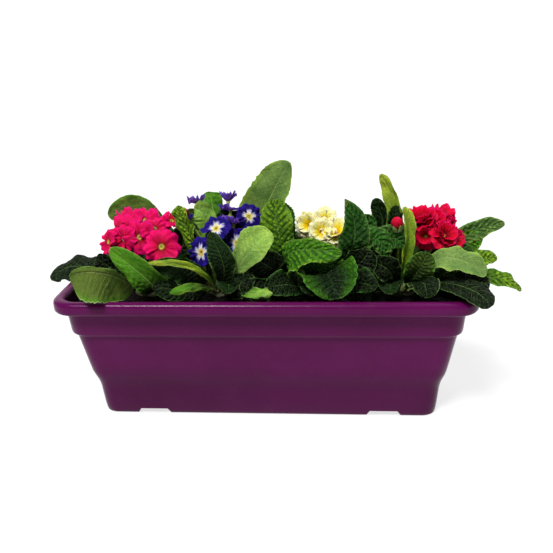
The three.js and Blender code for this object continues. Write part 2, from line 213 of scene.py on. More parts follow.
def add_piece(name, one, material, replaces=None, creased=False):
    """Writes a part into a mesh object in metres, with its UV map and its tint as a colour
    attribute. A face that welding has left with a doubled corner is written with three corners."""
    faces = one["faces"]
    doubled = (faces == np.roll(faces, 1, axis=1)).any(axis=1)
    short = [list(dict.fromkeys(face)) for face in faces[doubled].tolist()]
    mesh = bpy.data.meshes.new(name)
    mesh.from_pydata((one["points"] * METRES).tolist(), [],
                     faces[~doubled].tolist() + [face for face in short if len(face) == 3])
    corner = np.empty(len(mesh.loops), np.int32)
    mesh.loops.foreach_get("vertex_index", corner)
    uv_map = mesh.uv_layers.new(name="UVMap")
    uv_map.data.foreach_set("uv", one["uv"][corner].astype(np.float32).ravel())
    tint = mesh.color_attributes.new("tint", "FLOAT_COLOR", "POINT")
    covered = np.concatenate([one["tint"], np.ones((len(one["tint"]), 1))], axis=1)
    tint.data.foreach_set("color", covered.astype(np.float32).ravel())
    mesh.polygons.foreach_set("use_smooth", np.ones(len(mesh.polygons), bool))
    if creased:
        mesh.set_sharp_from_angle(angle=CREASE_ANGLE)
    mesh.materials.append(material)
    mesh.update()
    piece = bpy.data.objects.new(name, mesh)
    bpy.context.scene.collection.objects.link(piece)
    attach(piece, "root")
    if replaces:
        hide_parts(replaces)


# ---- Shader building blocks
def wire(tree, node, socket, value):
    """Sets a socket to a constant, or links another node's socket to it."""
    if isinstance(value, bpy.types.NodeSocket):
        tree.links.new(value, node.inputs[socket])
    else:
        node.inputs[socket].default_value = value


def maths(tree, operation, first, second=0.0, third=0.0):
    """One sum or comparison of up to three values."""
    node = tree.nodes.new("ShaderNodeMath")
    node.operation = operation
    for socket, value in enumerate((first, second, third)):
        wire(tree, node, socket, value)
    return node.outputs[0]


def smooth_step(tree, value, low, high):
    """The same step as smooth has, in a shader."""
    node = tree.nodes.new("ShaderNodeMapRange")
    node.interpolation_type = "SMOOTHSTEP"
    wire(tree, node, "Value", value)
    wire(tree, node, "From Min", low)
    wire(tree, node, "From Max", high)
    return node.outputs["Result"]


def noise(tree, place, scale, detail=3.0, roughness=0.55):
    """Cloudy noise, mostly between 0.3 and 0.7, over a place."""
    node = tree.nodes.new("ShaderNodeTexNoise")
    wire(tree, node, "Vector", place)
    wire(tree, node, "Scale", scale)
    node.inputs["Detail"].default_value = detail
    node.inputs["Roughness"].default_value = roughness
    return node.outputs["Fac"]


def object_place(tree):
    """Object coordinates, in metres in the part's own frame."""
    return tree.nodes.new("ShaderNodeTexCoord").outputs["Object"]


def stretched_place(tree, scale, turn=0.0):
    """Object coordinates multiplied by three scales and turned about Z."""
    node = tree.nodes.new("ShaderNodeMapping")
    wire(tree, node, "Vector", object_place(tree))
    node.inputs["Scale"].default_value = scale
    node.inputs["Rotation"].default_value = (0.0, 0.0, turn)
    return node.outputs["Vector"]


def uv_place(tree):
    """The piece's own UV map: across, then along."""
    node = tree.nodes.new("ShaderNodeUVMap")
    node.uv_map = "UVMap"
    split = tree.nodes.new("ShaderNodeSeparateXYZ")
    wire(tree, split, "Vector", node.outputs["UV"])
    return split.outputs["X"], split.outputs["Y"]


def tint_of(tree):
    """The tint that add_piece has written to the mesh."""
    node = tree.nodes.new("ShaderNodeAttribute")
    node.attribute_name = "tint"
    return node.outputs["Color"]


def mixed(tree, share, first, second, kind="MIX"):
    """The second colour mixed into the first by the share. The node's inputs 6 and 7 and its output
    2 are those for colours."""
    node = tree.nodes.new("ShaderNodeMix")
    node.data_type = "RGBA"
    node.blend_type = kind
    wire(tree, node, 0, share)
    wire(tree, node, 6, first)
    wire(tree, node, 7, second)
    return node.outputs[2]


def darkened(tree, first, second, share=1.0):
    """The first colour multiplied by the second, by the share."""
    return mixed(tree, share, first, second, "MULTIPLY")


def ramp(tree, value, places):
    """A colour ramp over the value: each entry is a place from 0 to 1 and a display colour."""
    node = tree.nodes.new("ShaderNodeValToRGB")
    wire(tree, node, "Fac", value)
    elements = node.color_ramp.elements
    elements.remove(elements[1])
    elements[0].position = places[0][0]
    elements[0].color = paint(places[0][1])
    for position, rgb in places[1:]:
        elements.new(position).color = paint(rgb)
    return node.outputs["Color"]


def bump(tree, height, strength, distance, below=None):
    """A normal bent by a height, on top of another bump where one lies below it."""
    node = tree.nodes.new("ShaderNodeBump")
    wire(tree, node, "Height", height)
    node.inputs["Strength"].default_value = strength
    node.inputs["Distance"].default_value = distance
    if below is not None:
        wire(tree, node, "Normal", below)
    return node.outputs["Normal"]


def node_group(name, inputs, outputs):
    """An empty shader group with named inputs, each with its usual value, and named outputs."""
    group = bpy.data.node_groups.new(name, "ShaderNodeTree")
    for label, value in inputs:
        socket = group.interface.new_socket(label, in_out="INPUT", socket_type="NodeSocketFloat")
        socket.default_value = value
    for label in outputs:
        group.interface.new_socket(label, in_out="OUTPUT", socket_type="NodeSocketFloat")
    return group, group.nodes.new("NodeGroupInput").outputs, group.nodes.new("NodeGroupOutput")


def use_group(tree, group, values=()):
    """A group placed in a material with the material's own values. Gives the group's outputs."""
    node = tree.nodes.new("ShaderNodeGroup")
    node.node_tree = group
    for label, value in values:
        node.inputs[label].default_value = value
    return node.outputs


def mottle_group():
    """Uneven colour of living tissue or soil: a slow and a quick noise, each from 0 to 1."""
    group, given, out = node_group(
        "mottle", [("Slow scale", 40.0), ("Quick scale", 380.0)], ["Slow", "Quick"])
    for label in ("Slow", "Quick"):
        speckle = noise(group, object_place(group), given[label + " scale"])
        wire(group, out, label, smooth_step(group, speckle, 0.3, 0.7))
    return group


# Side veins leave the midrib forward: at the margin they are this share of the leaf further on.
VEIN_SLOPE = 0.15
# The veins on the right half start this part of a spacing after those on the left half.
VEIN_OFFSET = 0.45


def leaf_veins_group():
    """Veins of a leaf from its UV map: the midrib, side veins that slope forward from it and leave
    it by turns, a net of fine veins between them, and the margin. A side vein is a wide furrow with
    a thin thread at its bottom. Height is 1 on the quilted skin and low in the veins."""
    group, given, out = node_group(
        "leaf veins",
        [("Side veins", 12.0), ("Vein width", 0.1), ("Net scale", 420.0)],
        ["Midrib", "Side vein", "Thread", "Net", "Margin", "Height"],
    )
    across, along = uv_place(group)
    across = maths(group, "MULTIPLY_ADD", across, 2.0, -1.0)
    away = maths(group, "ABSOLUTE", across)
    here = object_place(group)
    root = maths(group, "MULTIPLY_ADD", away, -VEIN_SLOPE, along)
    right = maths(group, "GREATER_THAN", across, 0.0)
    sway = maths(group, "MULTIPLY_ADD", noise(group, here, 120.0, 2.0), 0.3, -0.15)
    count = maths(group, "MULTIPLY_ADD", right, VEIN_OFFSET, sway)
    count = maths(group, "MULTIPLY_ADD", root, given["Side veins"], count)
    beside = maths(group, "PINGPONG", count, 0.5)
    side_vein = maths(group, "SUBTRACT", 1.0, smooth_step(group, beside, 0.0, given["Vein width"]))
    thread = maths(group, "SUBTRACT", 1.0, smooth_step(group, beside, 0.0, 0.05))
    fade = maths(group, "MULTIPLY_ADD", smooth_step(group, away, 1.0, 0.3), 0.8, 0.2)
    fade = maths(group, "MULTIPLY", fade, smooth_step(group, along, 0.12, 0.2))
    side_vein = maths(group, "MULTIPLY", side_vein, fade)
    rib_width = maths(group, "MULTIPLY_ADD", along, -0.055, 0.068)
    midrib = smooth_step(group, maths(group, "DIVIDE", away, rib_width), 1.0, 0.4)
    net = group.nodes.new("ShaderNodeTexVoronoi")
    net.feature = "DISTANCE_TO_EDGE"
    wire(group, net, "Vector", here)
    wire(group, net, "Scale", given["Net scale"])
    cell = smooth_step(group, net.outputs["Distance"], 0.0, 0.35)
    height = maths(group, "MULTIPLY_ADD", side_vein, -0.55, maths(group, "MULTIPLY_ADD", cell, 0.5, 0.5))
    wire(group, out, "Height", height)
    wire(group, out, "Thread", maths(group, "MULTIPLY", thread, fade))
    wire(group, out, "Midrib", midrib)
    wire(group, out, "Side vein", side_vein)
    wire(group, out, "Net", smooth_step(group, net.outputs["Distance"], 0.12, 0.0))
    wire(group, out, "Margin", smooth_step(group, away, 0.955, 0.99))
    return group


def petal_streaks_group():
    """Fine streaks that fan out along a petal: noise stretched along its own UV map. Reach is the
    place along the petal, from 0 at the base to 1 at the rim, pushed about by the streaks and, by
    the point, further on towards the petal's sides."""
    group, given, out = node_group(
        "petal streaks", [("Streaks", 26.0), ("Push", 0.16), ("Point", 0.0)], ["Streak", "Reach"])
    across, along = uv_place(group)
    stretched = group.nodes.new("ShaderNodeCombineXYZ")
    wire(group, stretched, "X", maths(group, "MULTIPLY", across, given["Streaks"]))
    wire(group, stretched, "Y", maths(group, "MULTIPLY", along, 1.6))
    streak = smooth_step(group, noise(group, stretched.outputs["Vector"], 1.0, 3.0, 0.6), 0.3, 0.7)
    push = maths(group, "MULTIPLY", maths(group, "SUBTRACT", streak, 0.5), given["Push"])
    aside = maths(group, "ABSOLUTE", maths(group, "MULTIPLY_ADD", across, 2.0, -1.0))
    aside = maths(group, "MULTIPLY", aside, smooth_step(group, along, 0.1, 0.35))
    push = maths(group, "MULTIPLY_ADD", aside, given["Point"], push)
    wire(group, out, "Streak", streak)
    wire(group, out, "Reach", maths(group, "ADD", along, push))
    return group


MOTTLE = mottle_group()
LEAF_VEINS = leaf_veins_group()
PETAL_STREAKS = petal_streaks_group()


# ---- Materials
def new_material(name, specular, sheen=0.0):
    """A material with its node tree and its shader."""
    material = bpy.data.materials.new(name)
    material.use_nodes = True
    shader = material.node_tree.nodes["Principled BSDF"]
    shader.inputs["Specular IOR Level"].default_value = specular
    shader.inputs["Sheen Weight"].default_value = sheen
    return material, material.node_tree, shader


def finish(tree, shader, colour, roughness, normal):
    """Gives a shader the three values that every surface here has."""
    for socket, value in (("Base Color", colour), ("Roughness", roughness), ("Normal", normal)):
        wire(tree, shader, socket, value)


def leaf_material(name, side_veins, vein_width, net_scale, pale, show, rib, relief, rough):
    """A primrose leaf: its tint, mottled, with painted shade that darkens the furrows of the veins,
    with threads, midrib, margin and a fine net in the pale colour, and relief that sinks the veins
    below the quilted skin. The relief also sets how strong the painted furrow shade is. Show and
    rib are how strongly the threads and the midrib stand out in colour."""
    material, tree, shader = new_material(name, 0.09)
    lines = use_group(tree, LEAF_VEINS, [
        ("Side veins", side_veins), ("Vein width", vein_width), ("Net scale", net_scale)])
    spots = use_group(tree, MOTTLE)
    slow = ramp(tree, spots["Slow"], [
        (0, (184, 208, 178)), (0.5, (230, 240, 210)), (1, (255, 255, 222))])
    quick = ramp(tree, spots["Quick"], [(0, (222, 222, 222)), (1, (255, 255, 250))])
    base = darkened(tree, tint_of(tree), slow)
    base = darkened(tree, base, quick)
    # Painted shade: the colour is darkened where the vein height is low, down in the furrows.
    painted_furrow_shade = ramp(tree, lines["Height"], [
        (0, (84, 100, 84)), (0.55, (176, 188, 168)), (1, (255, 255, 255))])
    base = darkened(tree, base, painted_furrow_shade, relief)
    base = mixed(tree, maths(tree, "MULTIPLY", lines["Net"], 0.2 * show), base, paint(pale))
    vein = maths(tree, "MAXIMUM", maths(tree, "MULTIPLY", lines["Thread"], 0.7 * show),
                 maths(tree, "MULTIPLY", lines["Midrib"], rib))
    vein = maths(tree, "MAXIMUM", vein, maths(tree, "MULTIPLY", lines["Margin"], 0.4))
    finish(tree, shader, mixed(tree, vein, base, paint(pale)),
           maths(tree, "MULTIPLY_ADD", spots["Quick"], 0.12, rough),
           bump(tree, lines["Height"], relief, 0.002))
    return material


def petal_material(name, places, streaks, push, point, rough):
    """A petal: colour bands from its base to its rim, frayed into each other along fine streaks."""
    material, tree, shader = new_material(name, 0.1)
    lines = use_group(tree, PETAL_STREAKS, [("Streaks", streaks), ("Push", push), ("Point", point)])
    spots = use_group(tree, MOTTLE, [("Slow scale", 70.0), ("Quick scale", 600.0)])
    base = darkened(tree, ramp(tree, lines["Reach"], places), tint_of(tree))
    slow = ramp(tree, spots["Slow"], [(0, (224, 220, 224)), (1, (255, 255, 255))])
    height = maths(tree, "MULTIPLY_ADD", spots["Quick"], 0.4, lines["Streak"])
    finish(tree, shader, darkened(tree, base, slow),
           maths(tree, "MULTIPLY_ADD", lines["Streak"], 0.1, rough), bump(tree, height, 0.35, 0.0005))
    shader.inputs["Subsurface Weight"].default_value = 0.6
    shader.inputs["Subsurface Radius"].default_value = (1.0, 0.8, 0.6)
    shader.inputs["Subsurface Scale"].default_value = 0.002
    return material


def stalk_material():
    """Stalks, calyxes and throats: the tint, mottled, with a soft down."""
    material, tree, shader = new_material("downy stalk", 0.3, 0.15)
    spots = use_group(tree, MOTTLE, [("Slow scale", 160.0), ("Quick scale", 1100.0)])
    slow = ramp(tree, spots["Slow"], [(0, (205, 190, 170)), (1, (255, 255, 245))])
    finish(tree, shader, darkened(tree, tint_of(tree), slow),
           maths(tree, "MULTIPLY_ADD", spots["Quick"], 0.2, 0.5),
           bump(tree, spots["Quick"], 0.3, 0.0004))
    return material


def plastic_material():
    """Satin moulded plastic: plum with a slow drift of shade, an orange-peel skin, faint upright
    flow lines, a little soil dust, more of it low on the walls, and the painted shade that the
    trough's tint carries."""
    material, tree, shader = new_material("plum plastic", 0.12)
    here = object_place(tree)
    split = tree.nodes.new("ShaderNodeSeparateXYZ")
    wire(tree, split, "Vector", here)
    drift = smooth_step(tree, noise(tree, here, 9.0, 2.0), 0.3, 0.7)
    flow = noise(tree, stretched_place(tree, (140.0, 140.0, 9.0)), 1.0)
    flow = smooth_step(tree, flow, 0.35, 0.65)
    cloud = smooth_step(tree, noise(tree, here, 60.0, 6.0, 0.65), 0.5, 0.75)
    low = smooth_step(tree, split.outputs["Z"], 0.03, 0.0)
    dust = maths(tree, "MULTIPLY_ADD", cloud, 0.022, maths(tree, "MULTIPLY", low, 0.02))
    plum = ramp(tree, drift, [(0, (76, 6, 62)), (1, (84, 10, 70))])
    # The tint brings in the trough's painted shade, on the inside and low on the outside.
    plum = darkened(tree, plum, tint_of(tree))
    rough = maths(tree, "MULTIPLY_ADD", flow, 0.04, 0.18)
    peel = bump(tree, noise(tree, here, 420.0, 2.0, 0.4), 0.12, 0.0004)
    finish(tree, shader, mixed(tree, dust, plum, paint((128, 96, 104))),
           maths(tree, "MULTIPLY_ADD", dust, 1.2, rough), bump(tree, flow, 0.05, 0.0005, peel))
    return material


def compost_material():
    """Moist potting compost: near-black brown crumbs with paler fibres."""
    material, tree, shader = new_material("potting compost", 0.1)
    here = object_place(tree)
    clod = smooth_step(tree, noise(tree, here, 130.0, 6.0, 0.7), 0.3, 0.72)
    thread = noise(tree, stretched_place(tree, (900.0, 140.0, 500.0), 0.7), 1.0, 2.0)
    thread = smooth_step(tree, thread, 0.66, 0.74)
    soil = ramp(tree, clod, [(0, (5, 3, 2)), (0.55, (13, 9, 7)), (1, (28, 20, 15))])
    soil = mixed(tree, maths(tree, "MULTIPLY", thread, 0.3), soil, paint((56, 43, 32)))
    grain = noise(tree, here, 700.0, 5.0, 0.75)
    finish(tree, shader, darkened(tree, soil, tint_of(tree)),
           maths(tree, "MULTIPLY_ADD", clod, -0.15, 0.95),
           bump(tree, grain, 0.8, 0.002, bump(tree, clod, 0.7, 0.004)))
    return material


PLASTIC = plastic_material()
SOIL = compost_material()
STALK = stalk_material()
LEAF = {
    "crinkled": leaf_material("crinkled leaf", 13.0, 0.34, 170.0, (120, 160, 84), 0.3, 0.34, 1.0, 0.42),
    "bowl": leaf_material("bowl leaf", 11.0, 0.36, 170.0, (90, 150, 64), 0.3, 0.06, 1.0, 0.42),
    "smooth": leaf_material("smooth leaf", 12.0, 0.16, 300.0, (176, 196, 112), 0.2, 0.3, 0.35, 0.5),
    "downy": leaf_material("downy leaf back", 16.0, 0.16, 330.0, (196, 210, 142), 0.22, 0.22, 0.4, 0.6),
}
PETAL = {
    "pink": petal_material("pink petal", [
        (0, (215, 205, 90)), (0.06, (225, 190, 70)), (0.12, (110, 10, 20)), (0.26, (178, 0, 44)),
        (0.45, (206, 0, 72)), (0.8, (228, 0, 94)), (1, (240, 2, 106))], 30.0, 0.1, 0.0, 0.6),
    "blue": petal_material("blue petal", [
        (0, (236, 180, 10)), (0.15, (250, 214, 20)), (0.24, (246, 240, 190)), (0.42, (240, 240, 250)),
        (0.5, (96, 78, 200)), (0.57, (22, 6, 112)), (0.85, (12, 2, 80)), (1, (32, 10, 128))],
        30.0, 0.5, 0.3, 0.65),
    "yellow": petal_material("cream petal", [
        (0, (246, 180, 0)), (0.32, (253, 212, 6)), (0.48, (252, 230, 70)), (0.66, (250, 240, 150)),
        (1, (253, 247, 196))], 22.0, 0.3, 0.0, 0.6),
    "red": petal_material("crimson petal", [
        (0, (222, 170, 30)), (0.1, (90, 0, 10)), (0.35, (156, 0, 24)), (0.7, (206, 0, 42)),
        (1, (222, 2, 60))], 26.0, 0.14, 0.0, 0.6),
}


# ---- The trough
HALF_LENGTH = 250.0
HALF_DEPTH = 95.0
FLOOR_TOP = 9.0
# Two shallow channels cross the underside from front to back, with drain holes in their roofs.
CHANNELS = (-144.0, 145.0)
CHANNEL_HEIGHT = 7.0
CHANNEL_ROOF = 17.0
CHANNEL_FOOT = 21.0
DRAINS = (-30.0, 0.0, 30.0)
DRAIN_RADIUS = 4.0
DRAIN_SIDES = 24
DRAIN_ANGLES = 2 * math.pi * (np.arange(DRAIN_SIDES) + 0.5) / DRAIN_SIDES
# Half the depth of the underside, across which the cells round the drains end at DRAIN_CELLS.
FLOOR_HALF = 55.5
DRAIN_CELLS = (-45.0, -15.0, 15.0, 45.0)
CORNER_STEPS = 13

# The wall from the foot up its outside, over the rolled rim and down its inside: height, how far it
# lies in from the rim's outermost line, and the radius of the corners there.
WALL = np.array([
    [0, 43, 16], [0.3, 41.9, 16.4], [1.5, 40.5, 17], [5, 39.5, 18], [12, 38.7, 18], [26, 37.5, 18],
    [34, 36.8, 18], [40, 36, 18.1], [46, 34.5, 18.4], [52, 32.5, 18.8], [57, 30.8, 19],
    [62, 29.5, 19], [76, 27, 19.3], [98, 23.2, 19.7], [114, 20.4, 20], [115.7, 20, 20.2],
    [116.4, 19.3, 20.6], [116.8, 18, 21.4], [117.4, 16.8, 21.9], [118.7, 15.7, 22], [121, 15, 22],
    [135, 13.6, 23], [146.1, 12.3, 24], [147.6, 11.9, 24.2], [148.3, 10.8, 24.6], [148.45, 8.6, 25.4],
    [148.5, 6, 26.2], [148.8, 3.6, 27.2], [149.8, 1.6, 28.4], [151.7, 0.3, 29.5], [154, 0, 30],
    [160, 0, 30], [162.2, 0.7, 29.5], [163.9, 2.4, 28.4], [164.8, 4.8, 27], [165, 7.2, 26],
    [164.7, 9.4, 25], [163.6, 11.4, 23.6], [161.8, 12.5, 22.8], [157, 13.8, 22], [150, 15.5, 21],
    [119.5, 18.5, 19], [116.5, 23, 17], [90, 27.8, 16.4], [62, 32.5, 16], [40, 39, 15], [26, 40.5, 15],
    [FLOOR_TOP, 42.4, 15],
])
# The wall's rows up to this one are its foot and waist, and from the second one its inside below
# the rim.
FOOT_ROWS = 12
INSIDE_ROW = 39
# Rows of the foot below this height rise over a channel.
LIFTED_BELOW = 8.0


def rounded_sheet(stations, shares, height, inset, radius, steps=CORNER_STEPS):
    """A grid of points that fills one rounded rectangle, with l and d for half its length and depth
    and r for the radius of its corners. Columns stand at the stations and, in the corners, at
    x = l - r + r cos(turn). Rows lie at shares, from -1 to 1, of a half depth that is d between the
    corners and d - r + r sin(turn) in them. Height and inset are one number, or one for each
    station."""
    turn = np.linspace(0, math.pi / 2, steps)
    height, inset = (value + 0 * stations for value in (height, inset))
    bend = HALF_LENGTH - inset[0] - radius + radius * np.cos(turn)
    rise = HALF_DEPTH - inset[0] - radius + radius * np.sin(turn)
    x = np.concatenate([-bend, stations, bend[::-1]])
    half = np.concatenate([rise, HALF_DEPTH - inset, rise[::-1]])
    z = np.concatenate([height[0] + 0 * turn, height, height[-1] + 0 * turn])
    y = np.asarray(shares)[:, None] * half
    return np.stack([x + 0 * y, y, z + 0 * y], -1)


def border(sheet):
    """The points of a grid's border in one loop, anticlockwise seen from above."""
    return np.concatenate([sheet[0], sheet[1:, -1], sheet[-1, -2::-1], sheet[-2:0:-1, 0]])


def notch(x):
    """Height of the channels over the resting surface: 0 outside them, and sloping sides."""
    away = np.min([np.abs(x - channel) for channel in CHANNELS], axis=0)
    return CHANNEL_HEIGHT * np.clip((CHANNEL_FOOT - away) / (CHANNEL_FOOT - CHANNEL_ROOF), 0, 1)


def drain_circle(channel, drain, height):
    """Points round the edge of one drain hole at a height."""
    return np.stack([channel + DRAIN_RADIUS * np.cos(DRAIN_ANGLES),
                     drain + DRAIN_RADIUS * np.sin(DRAIN_ANGLES), height + 0 * DRAIN_ANGLES], -1)


def holed_floor(sheet, stations, facing_down):
    """A level sheet with a round hole in each of the three middle cells between the edges of each
    channel's roof. Round a hole, a fan of faces joins the cell's corners to the circle."""
    index = np.arange(sheet.shape[0] * sheet.shape[1]).reshape(sheet.shape[:2])
    cells = grid_faces(index).reshape(sheet.shape[0] - 1, sheet.shape[1] - 1, 4)
    kept = np.ones(cells.shape[:2], bool)
    fans = []
    quadrant = (DRAIN_ANGLES // (math.pi / 2)).astype(int)
    for channel in CHANNELS:
        column = CORNER_STEPS + int(np.searchsorted(stations, channel)) - 1
        for row, drain in zip((1, 2, 3), DRAINS):
            kept[row, column] = False
            corners = sheet[[row + 1, row + 1, row, row], [column + 1, column, column, column + 1]]
            circle = drain_circle(channel, drain, sheet[row, column, 2])
            fans.append(part(np.stack([corners[quadrant], circle]), ring_faces(2, DRAIN_SIDES)))
    whole = joined([part(sheet, cells[kept])] + fans)
    if not facing_down:
        whole["faces"] = whole["faces"][:, ::-1]
    return whole


def trough_shell():
    """The trough as one closed shell: wall, underside, inner floor and the walls of its drains. Its
    tint is painted shade: it darkens the inside of the wall below the rim strongly and, a little,
    the outside low down."""
    edges = [channel + side * half for channel in CHANNELS for side in (-1, 1)
             for half in (CHANNEL_ROOF, CHANNEL_FOOT)]
    stations = np.sort(np.array(edges + [-100.0, -60.0, -20.0, 20.0, 60.0, 100.0]))
    shares = np.concatenate([[-1], np.array(DRAIN_CELLS) / FLOOR_HALF, [1]])
    outside = WALL[:FOOT_ROWS]
    loops = []
    for row, (height, inset, radius) in enumerate(WALL):
        if row < FOOT_ROWS and height < LIFTED_BELOW:
            lifted = height + notch(stations) * (1 - height / LIFTED_BELOW)
            insets = np.interp(lifted, outside[:, 0], outside[:, 1])
            sheet = rounded_sheet(stations, shares, lifted, insets, radius)
        else:
            sheet = rounded_sheet(stations, shares, height, inset, radius)
        loops.append(border(sheet))
        if row == 0:
            underside = sheet
    loops = np.stack(loops)
    # Painted shade in the tint: the inside of the wall below the rim is made much darker, and the outside
    # a little darker from 80 mm down to 40 mm and below.
    painted_inner_shade = smooth(INSIDE_ROW - 2.5, INSIDE_ROW - 0.5, np.arange(len(WALL)))
    shade = (1 - 0.88 * painted_inner_shade) * (1 - 0.3 * smooth(80, 40, WALL[:, 0]))
    shade = shade[:, None, None] + np.zeros(loops.shape)
    wall = part(loops, ring_faces(*loops.shape[:2])[:, ::-1], None, shade)
    bodies = [wall, holed_floor(underside, stations, True), holed_floor(sheet, stations, False)]
    for channel in CHANNELS:
        for drain in DRAINS:
            rings = np.stack([drain_circle(channel, drain, z) for z in (CHANNEL_HEIGHT, FLOOR_TOP)])
            bodies.append(part(rings, ring_faces(2, DRAIN_SIDES)))
    return welded(joined(bodies), 1e-3)


# ---- Compost and crowns
COMPOST_TOP = 145.0
COMPOST_GAP = 0.6
# The straight front of its top ends this far short of the rim's end.
COMPOST_CORNER = 37.4
PLANTS = {"pink": -150.0, "blue": -55.0, "yellow": 55.0, "red": 165.0}
CROWN_TOP = 150.0
# Leaves leave the top of a crown on a circle of this radius, and stalks on a smaller one.
LEAF_RING = 14.0
STALK_RING = 6.0
# Stubs of old leaves round the top of each crown.
STUBS = 14


def compost_height(x, y):
    """Loose compost: slow waves, clods and crumbs about the usual level, and a shallow mound up to
    each crown that falls off as exp(-(r/34)⁴)."""
    z = COMPOST_TOP + 1.6 * ripples(x, y, 70, 11) + 1.3 * ripples(x, y, 19, 12)
    z = z + 1.1 * np.abs(ripples(x, y, 8, 13)) + 0.5 * ripples(x, y, 4.3, 14)
    for crown_x in PLANTS.values():
        away = np.hypot(x - crown_x, y)
        z = z + 1.5 * np.exp(-(away / 34) ** 4)
    return z


def compost_block():
    """A block of compost that fills the trough up to a loose top, a little clear of its walls."""
    inside = WALL[:INSIDE_ROW - 1:-1]
    half = HALF_LENGTH - COMPOST_CORNER
    stations = np.linspace(-half, half, 152)[1:-1]
    shares = np.linspace(-1, 1, 57)
    levels = [COMPOST_TOP, 119.5, 116.5, 90, 62, 40, 26, FLOOR_TOP + COMPOST_GAP]
    sheets = []
    for level in levels:
        inset = np.interp(level, inside[:, 0], inside[:, 1]) + COMPOST_GAP
        radius = np.interp(level, inside[:, 0], inside[:, 2])
        sheets.append(rounded_sheet(stations * (HALF_LENGTH - inset - radius) / half, shares, level,
                                    inset, radius, 6))
    top = sheets[0].copy()
    top[..., 2] = compost_height(top[..., 0], top[..., 1])
    loops = np.stack([border(top)] + [border(sheet) for sheet in sheets[1:]])
    index = np.arange(top.shape[0] * top.shape[1]).reshape(top.shape[:2])
    return welded(joined([
        part(top, grid_faces(index)[:, ::-1]),
        part(loops, ring_faces(*loops.shape[:2])),
        part(sheets[-1], grid_faces(index)),
    ]), 1e-3)


def crumbs(count, seed):
    """Crumbs on the compost: small six-sided lumps, turned any way, that sink a third of their size
    into the top. The radius is multiplied by 1 + 0.25 sin(2 angle + phase) + 0.12 sin(3 angle +
    wobble), with a phase and a wobble of its own for each."""
    chance = np.random.default_rng(seed)
    lumps = []
    for _ in range(count):
        x = chance.uniform(-222, 222)
        y = chance.uniform(-70, 70)
        size = 0.7 + 2.2 * chance.random() ** 3
        centre = np.array([x, y, float(compost_height(x, y)) + 0.3 * size])
        profile = [(0, -0.9 * size), (0.8 * size, -0.45 * size), (size, 0.2 * size), (0, 0.8 * size)]
        phase, wobble = chance.uniform(0, 6, 2)
        shade = chance.uniform(0.7, 1.5)
        lumps.append(revolved(
            profile, centre, chance.normal(size=3) + [0, 0, 2], 6, plain_tint(shade),
            lambda _, angle: 1 + 0.25 * np.sin(2 * angle + phase) + 0.12 * np.sin(3 * angle + wobble)))
    return joined(lumps)


FIBRE_TINT = np.array([1.0, 0.85, 0.65])


def fibres(count, seed):
    """Bits of root and coir: short rods that follow the top of the compost 0.4 above it, each bent
    aside from a straight line by bend = b step², where step is the way from its middle."""
    chance = np.random.default_rng(seed)
    rods = []
    for _ in range(count):
        x = chance.uniform(-215, 215)
        y = chance.uniform(-66, 66)
        turn = chance.uniform(0, math.pi)
        length = chance.uniform(5, 15)
        step = np.linspace(-0.5, 0.5, 6) * length
        bend = chance.uniform(-0.04, 0.04) * step ** 2
        px = x + step * math.cos(turn) - bend * math.sin(turn)
        py = y + step * math.sin(turn) + bend * math.cos(turn)
        path = np.stack([px, py, compost_height(px, py) + 0.4], -1)
        shade = chance.uniform(1.5, 3.0)
        rods.append(tube(path, chance.uniform(0.25, 0.5), 5, plain_tint(shade * FIBRE_TINT)))
    return joined(rods)


def crown_dome(x, seed):
    """The top of a root ball: a low dome with a ring of stubs of old leaf bases. Its radius is cut
    by a share of 0.03 (1 + sin(5 angle)) + 0.02 (1 + sin(13 angle)), each from a phase of its own,
    and a stub leans outwards on a quadratic Bezier curve."""
    chance = np.random.default_rng(seed)
    phase = chance.uniform(0, 6, 3)
    profile = [(0, 126.5), (19, 126.8), (21.6, 129.5), (21.8, 141), (21, 145.5), (18.5, 148.2),
               (14, 149.6), (8, 150.3), (3, 150.6), (0, 150.7)]
    dark, fresh = light((46, 52, 26)), light((96, 112, 52))

    def lumpy(_, angle):
        five, thirteen = (1 + np.sin(lobes * angle + phase[k]) for k, lobes in enumerate((5, 13)))
        return 1 - 0.03 * five - 0.02 * thirteen

    parts = [revolved(profile, (x, 0, 0), (0, 0, 1), 40,
                      lambda share: between(dark, fresh, share[..., None] ** 3), lumpy)]
    for k in range(STUBS):
        azimuth = 2 * math.pi * (k + chance.uniform(-0.3, 0.3)) / STUBS
        out = np.array([math.cos(azimuth), math.sin(azimuth), 0.0])
        start = np.array([x, 0, 148.0]) + 15.5 * out
        end = start + chance.uniform(2, 4.5) * out + [0, 0, chance.uniform(2.5, 6)]
        path = bezier(start, start + [0, 0, 3], end, np.linspace(0, 1, 6))[0]
        shade = light((104, 96, 52)) * chance.uniform(0.6, 1.3)
        parts.append(tube(path, np.linspace(1.9, 1.3, 6), 7, plain_tint(shade)))
    return joined(parts)


# ---- Leaves
# Leaf greens. The black and deep ones are far darker than a living leaf: besides the dark tone of some
# leaves, they are painted shade on leaves low in the clumps, behind the flowers and at the foot of a
# leaf.
GREENS = {
    "black": light((4, 14, 5)), "deep": light((8, 27, 9)), "dark": light((18, 50, 15)),
    "forest": light((60, 120, 46)), "mid": light((48, 98, 24)), "fresh": light((88, 148, 32)),
    "lime": light((142, 178, 44)), "pale": light((166, 200, 100)), "grey": light((122, 152, 88)),
    "olive": light((88, 108, 42)), "gold": light((166, 178, 62)),
}
PETIOLE = light((150, 172, 104))
# Shares of a leaf's length: where its blade begins, and where its facing holds.
BLADE_START = 0.12
FACING_AT = 0.83
# How far the teeth stand out from the margin, as a share of the half width.
TEETH = 0.035
PETIOLE_HALF_WIDTH = 2.0
PETIOLE_THICKNESS = 2.3
BLADE_THICKNESS = 0.7


